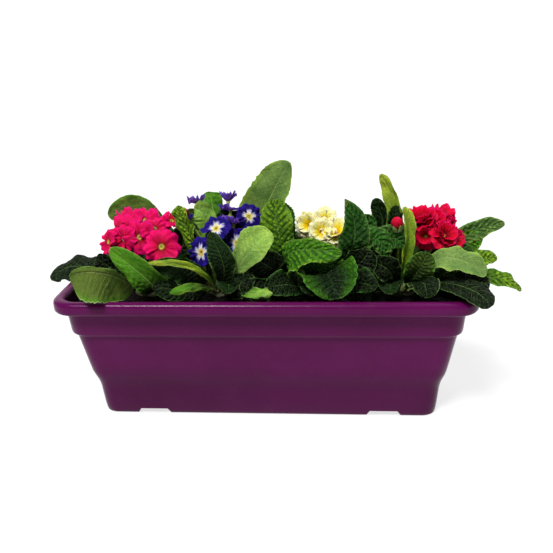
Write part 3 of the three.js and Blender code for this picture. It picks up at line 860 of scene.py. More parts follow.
def blade_share(u, widest, lower, upper):
    """Width of a leaf as a share of its widest: sin(pi b^(ln 0.5 / ln widest))^p, where b is the
    share of the blade that lies behind u. The power p is lower before the widest place and upper
    after it: a small one makes that end of the blade broad. It is 0 on the petiole and at the tip."""
    b = np.clip((u - BLADE_START) / (1 - BLADE_START), 0, 1)
    power = np.where(b < widest, lower, upper)
    return np.clip(np.sin(math.pi * b ** (math.log(0.5) / math.log(widest))), 0, 1) ** power


def square_to(direction, vector):
    """The part of a vector that is square to a direction of length 1, with length 1."""
    return unit(vector - vector.dot(direction) * direction)


def carried(alongs, facing, start):
    """Upper directions along a midrib: the facing, made square to it at the start row, and carried
    from there both ways with no more turn than the midrib itself has."""
    uppers = np.empty_like(alongs)
    uppers[start] = square_to(alongs[start], np.asarray(facing, float))
    for row in range(start - 1, -1, -1):
        uppers[row] = square_to(alongs[row], uppers[row + 1])
    for row in range(start + 1, len(alongs)):
        uppers[row] = square_to(alongs[row], uppers[row - 1])
    return uppers


def from_crown(crown_x, place):
    """A place that is measured from the middle of a crown's top, in the part's own frame."""
    return np.array([crown_x, 0.0, CROWN_TOP]) + place


def root_place(crown_x, place, radius, start):
    """Where a stalk leaves the top of a crown: on a circle, on the side of the place that it grows
    to, or at the start angle in degrees where one is given."""
    azimuth = math.atan2(place[1], place[0]) if start is None else math.radians(start)
    return from_crown(crown_x, [radius * math.cos(azimuth), radius * math.sin(azimuth), 0.3])


def leaf_body(crown_x, middle, tip, half_width, facing, start, greens, seed, halves=(1.0, 1.0),
              widest=0.57, lower=0.55, upper=0.5, cup=0.15, fold=0.0, droop=(0.0, 0.0), sway=2.0,
              uneven=0.09, ruffle=2.2, quilt=1.5, veins=13, band=0.28, below="grey",
              rows=58, columns=33):
    """A primrose leaf on a quadratic Bezier midrib that leaves the crown, passes the middle point
    half-way and ends at the tip, both measured from the top of the crown. The facing is the way its
    upper side looks near the tip. The greens name those of its base, its end and its margin.

    At the place u along and a across (-1 to 1), with w the half width there and s its share of the
    widest, the surface lies off the midrib by
        side: w a cos(cup s a + fold s)
        up: w a² sin(cup s) + w |a| sin(fold s) + ruffle s |a|^2.5 ripples(u) - w s droop a²
            + sway s ripples(u, a) + quilt s (sqrt|sin(pi count)| - 1/2 + lumps)
            - 0.9 s exp(-(a/0.12)²),
    where count is the number of side veins behind the place, as the shader has it. The half width
    is uneven along each margin, has teeth on |a|^6, and takes a share of its own in each of the left
    and right halves. The band is the share of a half that takes the margin's green."""
    foot = root_place(crown_x, middle, LEAF_RING, start)
    middle, tip = from_crown(crown_x, middle), from_crown(crown_x, tip)
    u = 0.999 * (1 - (1 - np.linspace(0, 1, rows)) ** 1.3)
    centre, alongs = bezier(foot, 2 * middle - (foot + tip) / 2, tip, u)
    uppers = carried(alongs, facing, int(np.searchsorted(u, FACING_AT)))
    sides = np.cross(uppers, alongs)
    u = u[:, None]
    a = np.sin(math.pi / 2 * np.linspace(-1, 1, columns))
    away = np.abs(a)
    share = blade_share(u, widest, lower, upper)
    flat = np.minimum(1, 3 * share)
    reach = PETIOLE_HALF_WIDTH * np.sqrt(1 - u ** 8) + (half_width - PETIOLE_HALF_WIDTH) * share
    reach = reach * between(halves[0], halves[1], smooth(-0.2, 0.2, a))
    jags = ripples(u * veins * 1.7, 2 * np.sign(a), 1.0, seed + 3)
    bays = ripples(2.6 * u, 2 * np.sign(a), 1.0, seed + 4)
    reach = reach * (1 + flat * (TEETH * jags * away ** 6 + uneven * bays * away ** 2))
    inward = cup * share * a + fold * share * np.sign(a)
    lift = reach * (a ** 2 * np.sin(cup * share) + away * np.sin(fold * share))
    lift = lift + 1.8 * ruffle * share * away ** 2.5 * ripples(5 * u, 0.4 * a + 3 * (a > 0), 1.0, seed)
    lift = lift + sway * share * ripples(2.2 * u, 0.8 * a, 1.0, seed + 6)
    lift = lift - reach * share * (droop[0] * np.clip(-a, 0, 1) ** 2 + droop[1] * np.clip(a, 0, 1) ** 2)
    count = (u - VEIN_SLOPE * away) * veins + VEIN_OFFSET * (a > 0)
    swollen = np.sqrt(np.abs(np.sin(math.pi * count)) + 1e-4) - 0.5
    lumps = 0.5 * ripples(a * reach, u * 4.4 * half_width, 6.0, seed + 5)
    window = smooth(0.0, 0.22, away) * smooth(1.0, 0.8, away) * smooth(0.12, 0.25, u)
    lift = lift + quilt * share * window * (swollen + lumps) - 0.9 * share * np.exp(-(a / 0.12) ** 2)
    width = reach * a * np.cos(inward)
    surface = centre[:, None] + sides[:, None] * width[..., None] + uppers[:, None] * lift[..., None]
    bulge = np.sqrt(np.clip(1 - away ** between(2.0, 8.0, flat), 0, 1))

    # A leaf's green runs from its base green at the foot to its end green; a black or deep base green is
    # painted shade at the foot.
    toward_end = smooth(0.15, 0.95, u)[..., None]
    green = smooth(0.1, 0.9, flat)[..., None]
    # The margin's green: the margin's own tone, and where a dark leaf has a grey or pale edge, a painted
    # highlight along it.
    rim = (0.7 * smooth(1 - band, 1.0, away) * flat)[..., None]
    base, end, edge = (GREENS[name] for name in greens.split())
    shade = between(base, end, toward_end) + 0 * a[:, None]
    shade = between(PETIOLE, between(shade, edge, rim), green)
    under = between(PETIOLE, between(GREENS[below], shade, 0.25), green)
    thickness = between(PETIOLE_THICKNESS, BLADE_THICKNESS, flat) * bulge
    return closed_sheet(surface, thickness, sheet_uv(a, u), shade, under)


# Leaves: skin, middle, tip, half width, facing, start angle, greens, and what differs from a usual
# leaf.
LEAVES = {
    "pink": [
        # high at the back, tip to the left
        ("smooth", (-10, 54, 74), (-63, 56, 80), 24, (0, -9, 3), 60, "olive olive fresh", dict(cup=0.25)),
        # over the left end, curling down
        ("crinkled", (-78, 4, 28), (-130, 0, 13), 22, (-2, -5, 8), None, "black deep deep",
         dict(cup=0.2, droop=(0.35, 0.2))),
        # hangs over the front rim
        ("downy", (-31, -79, 47), (-70, -85, 46), 25, (0, -9, 4), None, "olive olive fresh",
         dict(halves=(0.3, 1.5), lower=0.4)),
        # bright, before the flowers
        ("smooth", (14, -51, 26), (-33, -44, 66), 23, (-3, -9, 1), 320, "dark fresh fresh",
         dict(halves=(1.0, 0.8), widest=0.5, lower=0.3)),
        # low on the left
        ("crinkled", (-42, -14, 30), (-62, -12, 44), 15, (-3, -9, 2), None, "black black dark", {}),
        # over the back rim
        ("crinkled", (-10, 60, 40), (-34, 104, 38), 24, (0, 5, 8), 110, "mid fresh fresh",
         dict(droop=(0.2, 0.2))),
        # dark, behind the flowers on the right
        ("crinkled", (42, 10, 50), (60, 8, 84), 18, (0, -9, 3), 15, "black deep mid", {}),
        # dark, behind the flowers on the left
        ("crinkled", (-34, 14, 46), (-56, 12, 66), 17, (0, -9, 3), 165, "black deep dark", {}),
    ],
    "blue": [
        # low in front, tip to the left
        ("crinkled", (-31, -44, 43), (-78, -49, 49), 20, (-1, -9, 0), 210, "deep dark mid",
         dict(halves=(0.4, 1.2))),
        # upright before the flowers
        ("crinkled", (9, -48, 47), (-8, -40, 83), 16, (-3, -9, 2), 255, "black dark fresh",
         dict(band=0.14)),
        # pale and broad, leaning right
        ("downy", (34, -50, 54), (66, -48, 88), 22, (-2, -9, 2), 280, "grey pale pale",
         dict(halves=(0.75, 1.0), widest=0.68, upper=0.4, below="pale")),
        # the tallest, leaning right
        ("smooth", (50, 28, 88), (86, 20, 155), 29, (-2, -9, 3), None, "olive grey lime",
         dict(halves=(0.85, 1.2), widest=0.5, lower=0.5, upper=0.6, sway=3.0, uneven=0.08)),
        # upright beside the pink flowers
        ("crinkled", (-41, -6, 78), (-47, -5, 108), 12, (-4, -8, 3), 170, "lime lime lime", {}),
        # round, at the back
        ("smooth", (-16, 48, 81), (-20, 60, 110), 16, (0, -8, 5), 100, "mid fresh fresh", {}),
        # folded, behind the flowers
        ("downy", (-18, 15, 74), (-35, 20, 98), 19, (-2, -9, 4), 140, "fresh pale fresh",
         dict(fold=0.35)),
        # narrow, along the front rim
        ("downy", (-24, -58, 23), (-52, -72, 20), 6, (0, -6, 8), 228, "olive fresh lime", {}),
        # narrow, along the front rim
        ("downy", (44, -66, 18), (68, -74, 21), 7, (0, -6, 8), 308, "fresh pale fresh", {}),
        # low on the right
        ("crinkled", (38, -24, 27), (66, -24, 45), 15, (1, -9, 3), 340, "black black grey",
         dict(band=0.08)),
        # dark, standing between this plant and the next
        ("crinkled", (50, -22, 38), (84, -18, 62), 20, (-1, -9, 2), 330, "black deep mid",
         dict(band=0.1)),
        # dark, low in front
        ("crinkled", (20, -44, 16), (45, -49, 33), 15, (-1, -9, 4), 300, "black deep grey",
         dict(band=0.08)),
        # low, between this plant and the pink one
        ("crinkled", (-40, -46, 14), (-78, -52, 22), 15, (0, -8, 5), 225, "black deep mid",
         dict(band=0.12)),
        # narrow and bright, above the low one in front
        ("downy", (-26, -54, 45), (-79, -56, 52), 5, (0, -7, 6), 225, "lime gold gold",
         dict(widest=0.66, lower=0.4, fold=0.3)),
        # dark, behind the flowers
        ("crinkled", (4, 16, 54), (10, 20, 100), 21, (0, -9, 3), 80, "black dark dark", {}),
        # behind the upright one on the left
        ("smooth", (-34, 26, 58), (-40, 30, 96), 17, (0, -9, 3), 140, "olive olive mid", {}),
    ],
    "yellow": [
        # curls to the left and back to the right
        ("crinkled", (-22, -35, 56), (39, -48, 60), 22, (0, -8, 5), 200, "fresh fresh lime",
         dict(halves=(1.1, 0.65), widest=0.5, lower=0.3, ruffle=3.0, quilt=2.4)),
        # upright, left of the flowers
        ("crinkled", (-35, 13, 70), (-42, 12, 112), 20, (-1, -9, 3), 170, "deep dark fresh", {}),
        # a bowl that opens forward
        ("bowl", (20, -51, 36), (31, -82, 16), 36, (0, -6, 8), None, "black deep fresh",
         dict(widest=0.5, lower=0.3, upper=0.4, cup=0.4, ruffle=3.0, quilt=2.6, veins=11, band=0.8)),
        # upright, right of the flowers
        ("crinkled", (52, -28, 66), (42, -32, 121), 19, (1, -9, 2), 337, "dark forest grey",
         dict(widest=0.5, upper=1.0, quilt=2.6)),
        # arches over to the right
        ("crinkled", (68, -14, 67), (92, -21, 42), 17, (3, -7, 6), 5, "forest forest grey",
         dict(lower=0.4, ruffle=3.0, quilt=2.8, band=0.6)),
        # low in front, on the right
        ("crinkled", (48, -44, 24), (78, -62, 22), 17, (1, -8, 6), 315, "deep deep mid", {}),
        # low in front, on the left
        ("crinkled", (-24, -44, 20), (-52, -58, 21), 17, (-1, -8, 6), 250, "deep deep mid", {}),
        # over the back rim
        ("crinkled", (8, 60, 46), (17, 104, 38), 24, (0, 5, 8), None, "mid fresh fresh",
         dict(droop=(0.2, 0.2))),
        # upright and crinkled, left of the flowers
        ("crinkled", (-34, -22, 66), (-40, -12, 117), 20, (1, -9, 2), 190, "fresh lime lime",
         dict(widest=0.66, quilt=2.4)),
        # behind the ones on the right
        ("crinkled", (48, 4, 52), (76, 0, 92), 20, (0, -9, 3), 5, "dark forest grey", dict(quilt=2.4)),
        # dark, filling the middle of the front
        ("crinkled", (52, -34, 36), (70, -40, 62), 19, (0, -9, 3), 320, "black black deep", {}),
        # dark, low on the left
        ("crinkled", (-42, -26, 32), (-70, -30, 50), 19, (0, -9, 3), 205, "black black dark", {}),
        # dark, low on the far left
        ("crinkled", (-46, -46, 12), (-82, -54, 24), 15, (0, -9, 5), 220, "black black mid",
         dict(band=0.1)),
        # crinkled, out to the right
        ("crinkled", (84, -10, 62), (112, -14, 54), 17, (1, -8, 5), 0, "dark forest grey",
         dict(lower=0.4, ruffle=3.0, quilt=2.6)),
        # dark, behind the flowers
        ("crinkled", (22, 12, 44), (24, 12, 76), 22, (0, -9, 3), 60, "black deep mid", {}),
        # dark, under the one that curls
        ("crinkled", (10, -34, 28), (24, -38, 50), 20, (0, -9, 3), 290, "forest forest mid", {}),
    ],
    "red": [
        # tall and narrow, tip to the left
        ("smooth", (-6, 11, 88), (-25, 13, 140), 10, (-3, -9, 1), 100, "lime gold gold", dict(fold=0.3)),
        # narrow, behind the flowers
        ("crinkled", (-9, 2, 72), (-5, 5, 103), 11, (3, -9, 1), 200, "deep dark lime", {}),
        # boat-shaped, before the flowers
        ("smooth", (5, -34, 71), (0, -30, 110), 9, (3, -9, 1), 260, "lime gold gold", dict(fold=0.6)),
        # a cup beside the tall leaf
        ("crinkled", (-18, 20, 68), (-32, 24, 107), 12, (-2, -9, 2), 150, "deep dark mid", dict(cup=0.4)),
        # narrow, out to the right
        ("crinkled", (71, 14, 57), (127, 20, 75), 12, (0, -8, 6), 20, "mid grey pale", {}),
        # broad and greyish, to the right
        ("downy", (42, -45, 52), (95, -50, 37), 20, (0, -6, 8), 327, "grey grey pale",
         dict(halves=(0.95, 0.8), widest=0.7, upper=0.35, below="pale")),
        # right of the flowers
        ("crinkled", (77, -8, 34), (115, -4, 39), 12, (0, -7, 7), 355, "fresh lime fresh", {}),
        # over the right end
        ("crinkled", (94, -31, 24), (139, -34, 9), 12, (0, -4, 9), 340, "mid lime fresh", {}),
        # over the front corner
        ("crinkled", (58, -66, 28), (92, -96, 13), 22, (1, -4, 9), 308, "black deep mid",
         dict(upper=0.35, droop=(0.1, 0.25), band=0.08)),
        # faces forward, low in the middle
        ("crinkled", (19, -58, 28), (24, -80, 17), 17, (0, -8, 6), 285, "black deep grey",
         dict(band=0.08)),
        # a cup, low on the left
        ("crinkled", (-15, -36, 33), (-37, -38, 46), 16, (-1, -9, 3), 235, "black black grey",
         dict(cup=0.35, band=0.08)),
        # dark, between this plant and the yellow one
        ("crinkled", (-44, -14, 40), (-70, -12, 68), 19, (0, -9, 3), 195, "black deep dark", {}),
        # dark, low in front of it
        ("crinkled", (-44, -46, 12), (-76, -54, 22), 15, (0, -9, 5), 222, "black black deep", {}),
        # olive, filling the middle
        ("crinkled", (16, -44, 34), (26, -50, 62), 17, (0, -9, 3), 290, "dark olive fresh", {}),
        # dark, low on the right
        ("crinkled", (60, -44, 18), (98, -52, 26), 17, (0, -9, 5), 322, "black black deep", {}),
        # dark, behind the stalks of the flowers
        ("crinkled", (38, 6, 30), (50, 4, 58), 22, (0, -9, 4), 15, "black dark mid", {}),
        # green, between them and the broad leaf
        ("crinkled", (44, -14, 34), (84, -14, 54), 15, (0, -9, 5), 340, "dark mid lime", {}),
        # crinkled, right of the flowers
        ("crinkled", (66, 10, 44), (100, 12, 60), 15, (0, -9, 4), 12, "dark fresh lime", dict(quilt=2.4)),
    ],
}


def inner_leaves(crown_x, entries, seed):
    """The leaves round the crown of one plant. They arch: the middle lies at 0.55 of the way out and
    a little higher than a straight leaf's would."""
    chance = np.random.default_rng(seed)
    bodies = []
    for azimuth, distance, height, half_width, greens in entries:
        turn = math.radians(azimuth)
        out = np.array([math.cos(turn), math.sin(turn), 0.0])
        bow = np.array([-out[1], out[0], 0.0]) * chance.uniform(-0.08, 0.08) * distance
        middle = 0.55 * distance * out + bow + [0, 0, 0.62 * height + 0.16 * distance]
        facing = 0.35 * out + 0.25 * bow / distance + [0, -0.15, 1.0]
        cup = chance.uniform(0.05, 0.3)
        bodies.append(leaf_body(
            crown_x, middle, distance * out + [0, 0, height], half_width, facing, azimuth,
            greens, int(chance.integers(1000)), cup=cup, ruffle=2.0, rows=44, columns=23))
    return joined(bodies)


# Inner leaves: azimuth in degrees, distance and height of the tip, half width, and greens.
INNER_LEAVES = {
    "pink": [
        (25, 68, 46, 17, "dark mid mid"), (52, 72, 58, 19, "mid fresh fresh"),
        (80, 62, 66, 18, "mid mid mid"), (134, 74, 44, 19, "dark mid mid"),
        (152, 88, 26, 18, "dark fresh fresh"), (190, 70, 22, 16, "deep dark dark"),
        (330, 60, 26, 15, "deep deep deep"), (70, 88, 30, 20, "dark mid mid"),
    ],
    "blue": [
        (20, 60, 60, 17, "dark mid mid"), (45, 70, 52, 18, "mid fresh fresh"),
        (75, 86, 40, 20, "mid fresh fresh"), (118, 76, 50, 18, "dark mid mid"),
        (140, 70, 44, 17, "mid fresh fresh"), (165, 56, 40, 15, "deep dark dark"),
        (285, 60, 14, 15, "deep dark dark"), (330, 62, 24, 15, "deep deep deep"),
        (95, 60, 74, 18, "mid mid mid"),
    ],
    "yellow": [
        (30, 66, 52, 18, "dark mid mid"), (60, 74, 56, 19, "mid fresh fresh"),
        (112, 80, 48, 19, "mid fresh fresh"), (138, 68, 50, 18, "dark mid mid"),
        (88, 62, 70, 18, "mid mid mid"), (275, 60, 12, 15, "deep dark dark"),
        (205, 56, 26, 14, "deep deep deep"), (345, 70, 24, 16, "deep deep deep"),
    ],
    "red": [
        (18, 62, 40, 16, "dark mid mid"), (42, 72, 44, 18, "mid fresh fresh"),
        (70, 78, 48, 19, "mid fresh fresh"), (105, 80, 46, 19, "mid fresh fresh"),
        (132, 66, 52, 17, "dark mid mid"), (160, 56, 44, 15, "deep dark dark"),
        (85, 58, 62, 16, "mid mid mid"), (350, 64, 18, 15, "deep dark dark"),
        (255, 58, 12, 15, "deep dark dark"),
    ],
}


# ---- Flowers
PETALS = 5
PETAL_THICKNESS = 0.35
SEPAL_THICKNESS = 0.5
TUBE_LENGTH = 14.0
STALK_GREEN = light((150, 178, 88))
CALYX_GREEN = light((120, 156, 66))


def flower_axes(facing):
    """The way a flower faces and two directions square to it, from which its petals are turned."""
    axis = unit(facing)
    across = unit(np.cross(axis, [1.0, 0.0, 0.0]))
    return axis, across, np.cross(axis, across)


def polar_surface(centre, axes, radius, angle, ahead):
    """Points at a radius and an angle round an axis, and ahead along it."""
    axis, across, over = axes
    return (centre + (radius * np.cos(angle))[..., None] * across
            + (radius * np.sin(angle))[..., None] * over + ahead[..., None] * axis)


def petal_body(kind, eye, axes, size, turn, look, seed):
    """One petal with a notched rim, cupped, tilted and curled back by amounts that differ a little
    from petal to petal. At the place s out and t across (-1 to 1):
        rim = size (1 - notch exp(-(t/0.22)²) - 0.22 |t|³), a little uneven
        r = 1.3 + (rim - 1.3) s
        angle = turn + half angle (0.84 + 0.16 smooth(s)) t
        height = size (cup (r/size)^1.6 + tilt t s - 0.08 s exp(-(t/0.2)²) - curl smooth(s))
                 + ruffle s² ripples + lift smooth(s)
    The back takes the colours of the petal's outer third all over."""
    chance = np.random.default_rng(seed)
    s = np.linspace(0, 1, 18)[:, None]
    t = np.sin(math.pi / 2 * np.linspace(-1, 1, 19))
    rim = size * (1 - look["notch"] * np.exp(-(t / 0.22) ** 2) - 0.22 * np.abs(t) ** 3)
    rim = rim * (1 + 0.02 * ripples(3 * t, 0 * t, 0.9, seed))
    r = 1.3 + (rim - 1.3) * s
    angle = turn + math.radians(look["half_angle"]) * (0.84 + 0.16 * smooth(0, 0.4, s)) * t
    cup = look["cup"] + chance.uniform(-0.12, 0.12)
    tilt = 0.07 + chance.uniform(-0.1, 0.16)
    height = size * (cup * (r / size) ** 1.6 + tilt * t * s - 0.08 * s * np.exp(-(t / 0.2) ** 2))
    height = height - size * chance.uniform(0, look["curl"]) * smooth(0.6, 1.1, s)
    height = height + look["ruffle"] * s ** 2 * ripples(1.6 * t, 0.5 * s, 0.8, seed + 1)
    height = height + look["lift"] * smooth(0, 0.5, s)
    surface = polar_surface(eye, axes, r, angle, height)
    shade = np.zeros(surface.shape) + chance.uniform(0.88, 1.0)
    uv = sheet_uv(t, s)
    uv_below = np.stack([uv[..., 0], 0.66 + 0.34 * uv[..., 1]], -1)
    thickness = np.full(surface.shape[:2], PETAL_THICKNESS)
    return closed_sheet(surface, thickness, uv, shade, PETAL_BACKS[kind] * shade, uv_below)


# Whorls of petals from the outermost in: size as a share, turn in degrees, half the angle that a
# petal spans in degrees, and how it is notched and bent.
WAVY = [dict(size=1.0, turn=0, half_angle=47, notch=0.22, cup=0.0, ruffle=4.6, lift=0.0, curl=0.4)]
FLAT = [dict(size=1.0, turn=0, half_angle=45, notch=0.12, cup=0.0, ruffle=2.8, lift=0.0, curl=0.16)]
RUFFLED = [
    dict(size=1.0, turn=0, half_angle=48, notch=0.1, cup=-0.1, ruffle=4.0, lift=0.0, curl=0.3),
    dict(size=0.88, turn=36, half_angle=48, notch=0.1, cup=0.25, ruffle=4.0, lift=1.2, curl=0.1),
    dict(size=0.66, turn=10, half_angle=52, notch=0.1, cup=0.7, ruffle=2.6, lift=1.6, curl=0.0),
]
DOUBLE = [
    dict(size=1.0, turn=0, half_angle=50, notch=0.05, cup=-0.1, ruffle=3.6, lift=0.0, curl=0.35),
    dict(size=0.85, turn=36, half_angle=52, notch=0.05, cup=0.3, ruffle=3.6, lift=1.2, curl=0.15),
    dict(size=0.62, turn=14, half_angle=56, notch=0.06, cup=0.8, ruffle=2.4, lift=1.8, curl=0.0),
]
WHORLS = {"pink": WAVY, "blue": FLAT, "yellow": RUFFLED, "red": DOUBLE}
# The colours on the back of a petal are multiplied by this: the backs' own tone, and for the blue
# flowers a strong lift that is partly painted light on backs that face away from the key light.
PETAL_BACKS = {"pink": np.array([0.85, 1.0, 0.85]), "blue": np.array([14.0, 34.0, 3.6]),
               "yellow": np.array([1.0, 1.0, 0.9]), "red": np.array([0.7, 0.8, 0.8])}


def corolla(kind, crown_x, eye, facing, radius, cup, seed):
    """The petals of a flower, each a separate body. The cup is how far the rim of the outer petals
    stands ahead of the eye, as a share of the radius."""
    eye = from_crown(crown_x, eye)
    axes = flower_axes(facing)
    chance = np.random.default_rng(seed)
    bodies = []
    for look in WHORLS[kind]:
        for k in range(PETALS):
            turn = 2 * math.pi * k / PETALS + math.radians(look["turn"]) + chance.uniform(-0.06, 0.06)
            size = radius * look["size"] * chance.uniform(0.93, 1.03)
            bent = dict(look, cup=look["cup"] + cup)
            bodies.append(petal_body(kind, eye, axes, size, turn, bent, seed * 50 + len(bodies)))
    return joined(bodies)


def calyx(neck, axes, length, radius):
    """Five pointed sepals that hold the foot of a flower. At the place s out and t across (-1 to 1),
    r = radius (0.7 + 0.5 s - 0.25 s³), angle = turn + 0.62 (1 - 0.93 s²) t and height = length s."""
    s = np.linspace(0, 1, 8)[:, None]
    t = np.linspace(-1, 1, 5)
    r = radius * (0.7 + 0.5 * s - 0.25 * s ** 3)
    bodies = []
    for k in range(PETALS):
        angle = 2 * math.pi * k / PETALS + 0.62 * (1 - 0.93 * s ** 2) * t
        surface = polar_surface(neck, axes, r, angle, length * s)
        shade = between(CALYX_GREEN, STALK_GREEN, s[..., None]) + np.zeros(surface.shape)
        thickness = np.full(surface.shape[:2], SEPAL_THICKNESS)
        bodies.append(closed_sheet(surface, thickness, sheet_uv(t, s), shade))
    return joined(bodies)


def stalk_body(crown_x, neck, start, radius):
    """A stalk that rises from its crown, steeply at first, to the neck of its flower or bud. The
    radius multiplies the usual one."""
    foot = root_place(crown_x, neck - [crown_x, 0, 0], STALK_RING, start)
    control = (foot + neck) / 2
    control[2] = foot[2] + 0.75 * (neck[2] - foot[2])
    path = bezier(foot, control, neck, np.linspace(0, 1, 22))[0]
    return tube(path, np.linspace(1.5, 1.15, 22) * radius, 9, plain_tint(STALK_GREEN))


def flower_stalk(crown_x, eye, facing, start):
    """What carries the petals: stalk, calyx, the corolla's tube with its throat, and the stigma."""
    eye = from_crown(crown_x, eye)
    axes = flower_axes(facing)
    neck = eye - TUBE_LENGTH * axes[0]
    throat = revolved(
        [(0, -14.5), (1.4, -14), (1.7, -10), (1.8, -5), (2.1, -1.8), (2.7, -0.3), (2.5, 0.25),
         (1.7, -0.2), (1.2, -1.2), (0, -1.6)], eye, axes[0], 14,
        lambda share: between(STALK_GREEN, light((196, 200, 70)), share[..., None] ** 2))
    stigma = revolved([(0, -1.7), (0.35, -1.6), (0.4, -0.4), (0.75, -0.1), (0.75, 0.3), (0, 0.6)],
                      eye, axes[0], 8, plain_tint(light((150, 190, 60))))
    return joined([stalk_body(crown_x, neck, start, 1.0), calyx(neck - 0.5 * axes[0], axes, 10.0, 2.9),
                   throat, stigma])


def bud_petals(crown_x, eye, facing, radius, seed):
    """A furled bud: an egg whose radius swells by 0.07 sin(5 angle + 9 share), a spiral of folds."""
    eye = from_crown(crown_x, eye)
    ahead = np.linspace(-0.95, 1.1, 20)
    width = np.sqrt(np.clip(1 - ((ahead - 0.05) / 1.06) ** 2, 0, 1)) * (1 - 0.12 * ahead)
    width[[0, -1]] = 0
    return revolved(
        np.stack([width, ahead], -1) * radius, eye, facing, 30, plain_tint(0.75),
        lambda share, angle: 1 + 0.07 * np.sin(5 * angle + 9 * share + seed) * smooth(0, 0.4, share))


def bud_stalk(crown_x, eye, facing, radius, start):
    """What carries a bud: stalk, the cone under the bud, and a calyx that wraps it."""
    eye = from_crown(crown_x, eye)
    axes = flower_axes(facing)
    neck = eye - 2 * radius * axes[0]
    cone = revolved(np.array([(0, -2.05), (0.2, -2.0), (0.3, -1.5), (0.55, -0.95), (0, -0.8)]) * radius,
                    eye, facing, 12, plain_tint(CALYX_GREEN))
    return joined([stalk_body(crown_x, neck, start, 0.85), cone,
                   calyx(eye - 1.6 * radius * axes[0], axes, 1.9 * radius, 1.02 * radius)])


# Flowers and buds: eye or middle from the top of the crown, facing, radius, and the start angle of
# the stalk. A flower's cup is how far the rim stands ahead of the eye, as a share of the radius.
FLOWERS = {
    "pink": [
        ((-24, 26, 82), (0, -1, 9), 20, None, 0.6), ((13, 16, 78), (3, -2, 9), 20, None, 0.6),
        ((-4, -12, 71), (-1, -8, 4), 24, None, 0.1), ((-45, -8, 64), (-7, -7, 3), 18, None, 0.2),
        ((27, -30, 64), (1, -8, 5), 25, None, 0.08),
        ((-30, 4, 76), (-3, -6, 4), 22, None, 0.1), ((-3, 18, 84), (0, -6, 6), 21, None, 0.1),
        ((33, 8, 86), (4, -3, 7), 14, None, 0.3), ((-24, -10, 68), (-3, -8, 3), 20, None, 0.1),
        ((14, -8, 80), (2, -7, 6), 19, None, 0.1), ((-36, 2, 62), (-7, -6, 0), 16, None, 0.1),
    ],
    "blue": [
        ((-3, -14, 82), (-3, -6, 7), 20, 265, 0.08), ((-20, -30, 57), (-5, -8, 2), 20, 210, 0.08),
        ((36, -2, 93), (3, -8, 4), 17, None, 0.08), ((12, 14, 97), (1, 3, 8), 17, None, 0.3),
        ((5, 42, 101), (0, 3, 8), 12, None, 1.2), ((22, -16, 64), (-3, -9, 2), 19, None, 0.08),
        ((17, -2, 84), (1, 1, 9), 18, None, 0.6), ((-32, 26, 103), (-1, 2, 8), 13, None, 0.8),
        ((-42, 6, 86), (-6, 2, 6), 12, None, 0.3),
    ],
    "yellow": [
        ((33, -9, 74), (-1, -5, 6), 23, 330, 0.15), ((-1, 3, 80), (-3, -7, 4), 19, 150, 0.15),
        ((17, 6, 84), (0, -6, 6), 20, None, 0.1),
        ((15, -9, 75), (-1, -8, 4), 20, None, 0.1),
    ],
    "red": [
        ((25, -3, 84), (-2, -3, 8), 20, 80, 0.5), ((49, 16, 79), (2, -2, 9), 20, 20, 0.5),
        ((48, -19, 72), (4, -6, 6), 20, 320, 0.2),
        ((38, 4, 80), (0, -6, 6), 23, None, 0.1), ((60, -12, 66), (6, -6, 3), 18, 350, 0.0),
        ((28, -13, 70), (-2, -8, 3), 18, None, 0.1),
    ],
}
BUDS = {
    "pink": ((45, 22, 92), (3, -3, 9), 7, 5),
    "blue": ((-46, 6, 88), (-3, -5, 8), 6, None),
    "red": ((-6, -15, 87), (-1, -3, 9), 7, None),
}


# ---- Pieces
def node_or_none(name):
    """The name where the frame has such a node. The leaves and flowers after those replace none."""
    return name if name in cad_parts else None


add_piece("window_box_shell", trough_shell(), PLASTIC, "window_box", creased=True)
add_piece("compost_fill", compost_block(), SOIL, "compost")
add_piece("compost_crumbs", joined([crumbs(420, 3), fibres(60, 4)]), SOIL)

for number, (plant, crown_x) in enumerate(PLANTS.items()):
    add_piece(plant + "_crown_top", crown_dome(crown_x, number), STALK, plant + "_crown")
    for k, (skin, *fixed, more) in enumerate(LEAVES[plant]):
        body = leaf_body(crown_x, *fixed, 100 * number + k, **more)
        add_piece(f"{plant}_blade_{k + 1}", body, LEAF[skin],
                  node_or_none(f"{plant}_leaf_{k + 1}"))
    add_piece(plant + "_inner_leaves", inner_leaves(crown_x, INNER_LEAVES[plant], 20 + number),
              LEAF["crinkled"])
    for k, (eye, facing, radius, start, cup) in enumerate(FLOWERS[plant]):
        petals = corolla(plant, crown_x, eye, facing, radius, cup, 10 * number + k)
        add_piece(f"{plant}_petals_{k + 1}", petals, PETAL[plant],
                  node_or_none(f"{plant}_flower_{k + 1}"))
        add_piece(f"{plant}_stalk_{k + 1}", flower_stalk(crown_x, eye, facing, start),
                  STALK)
    if plant in BUDS:
        eye, facing, radius, start = BUDS[plant]
        add_piece(plant + "_furled_bud", bud_petals(crown_x, eye, facing, radius, number),
                  PETAL[plant], plant + "_bud_1")
        add_piece(plant + "_bud_stalk", bud_stalk(crown_x, eye, facing, radius, start),
                  STALK)


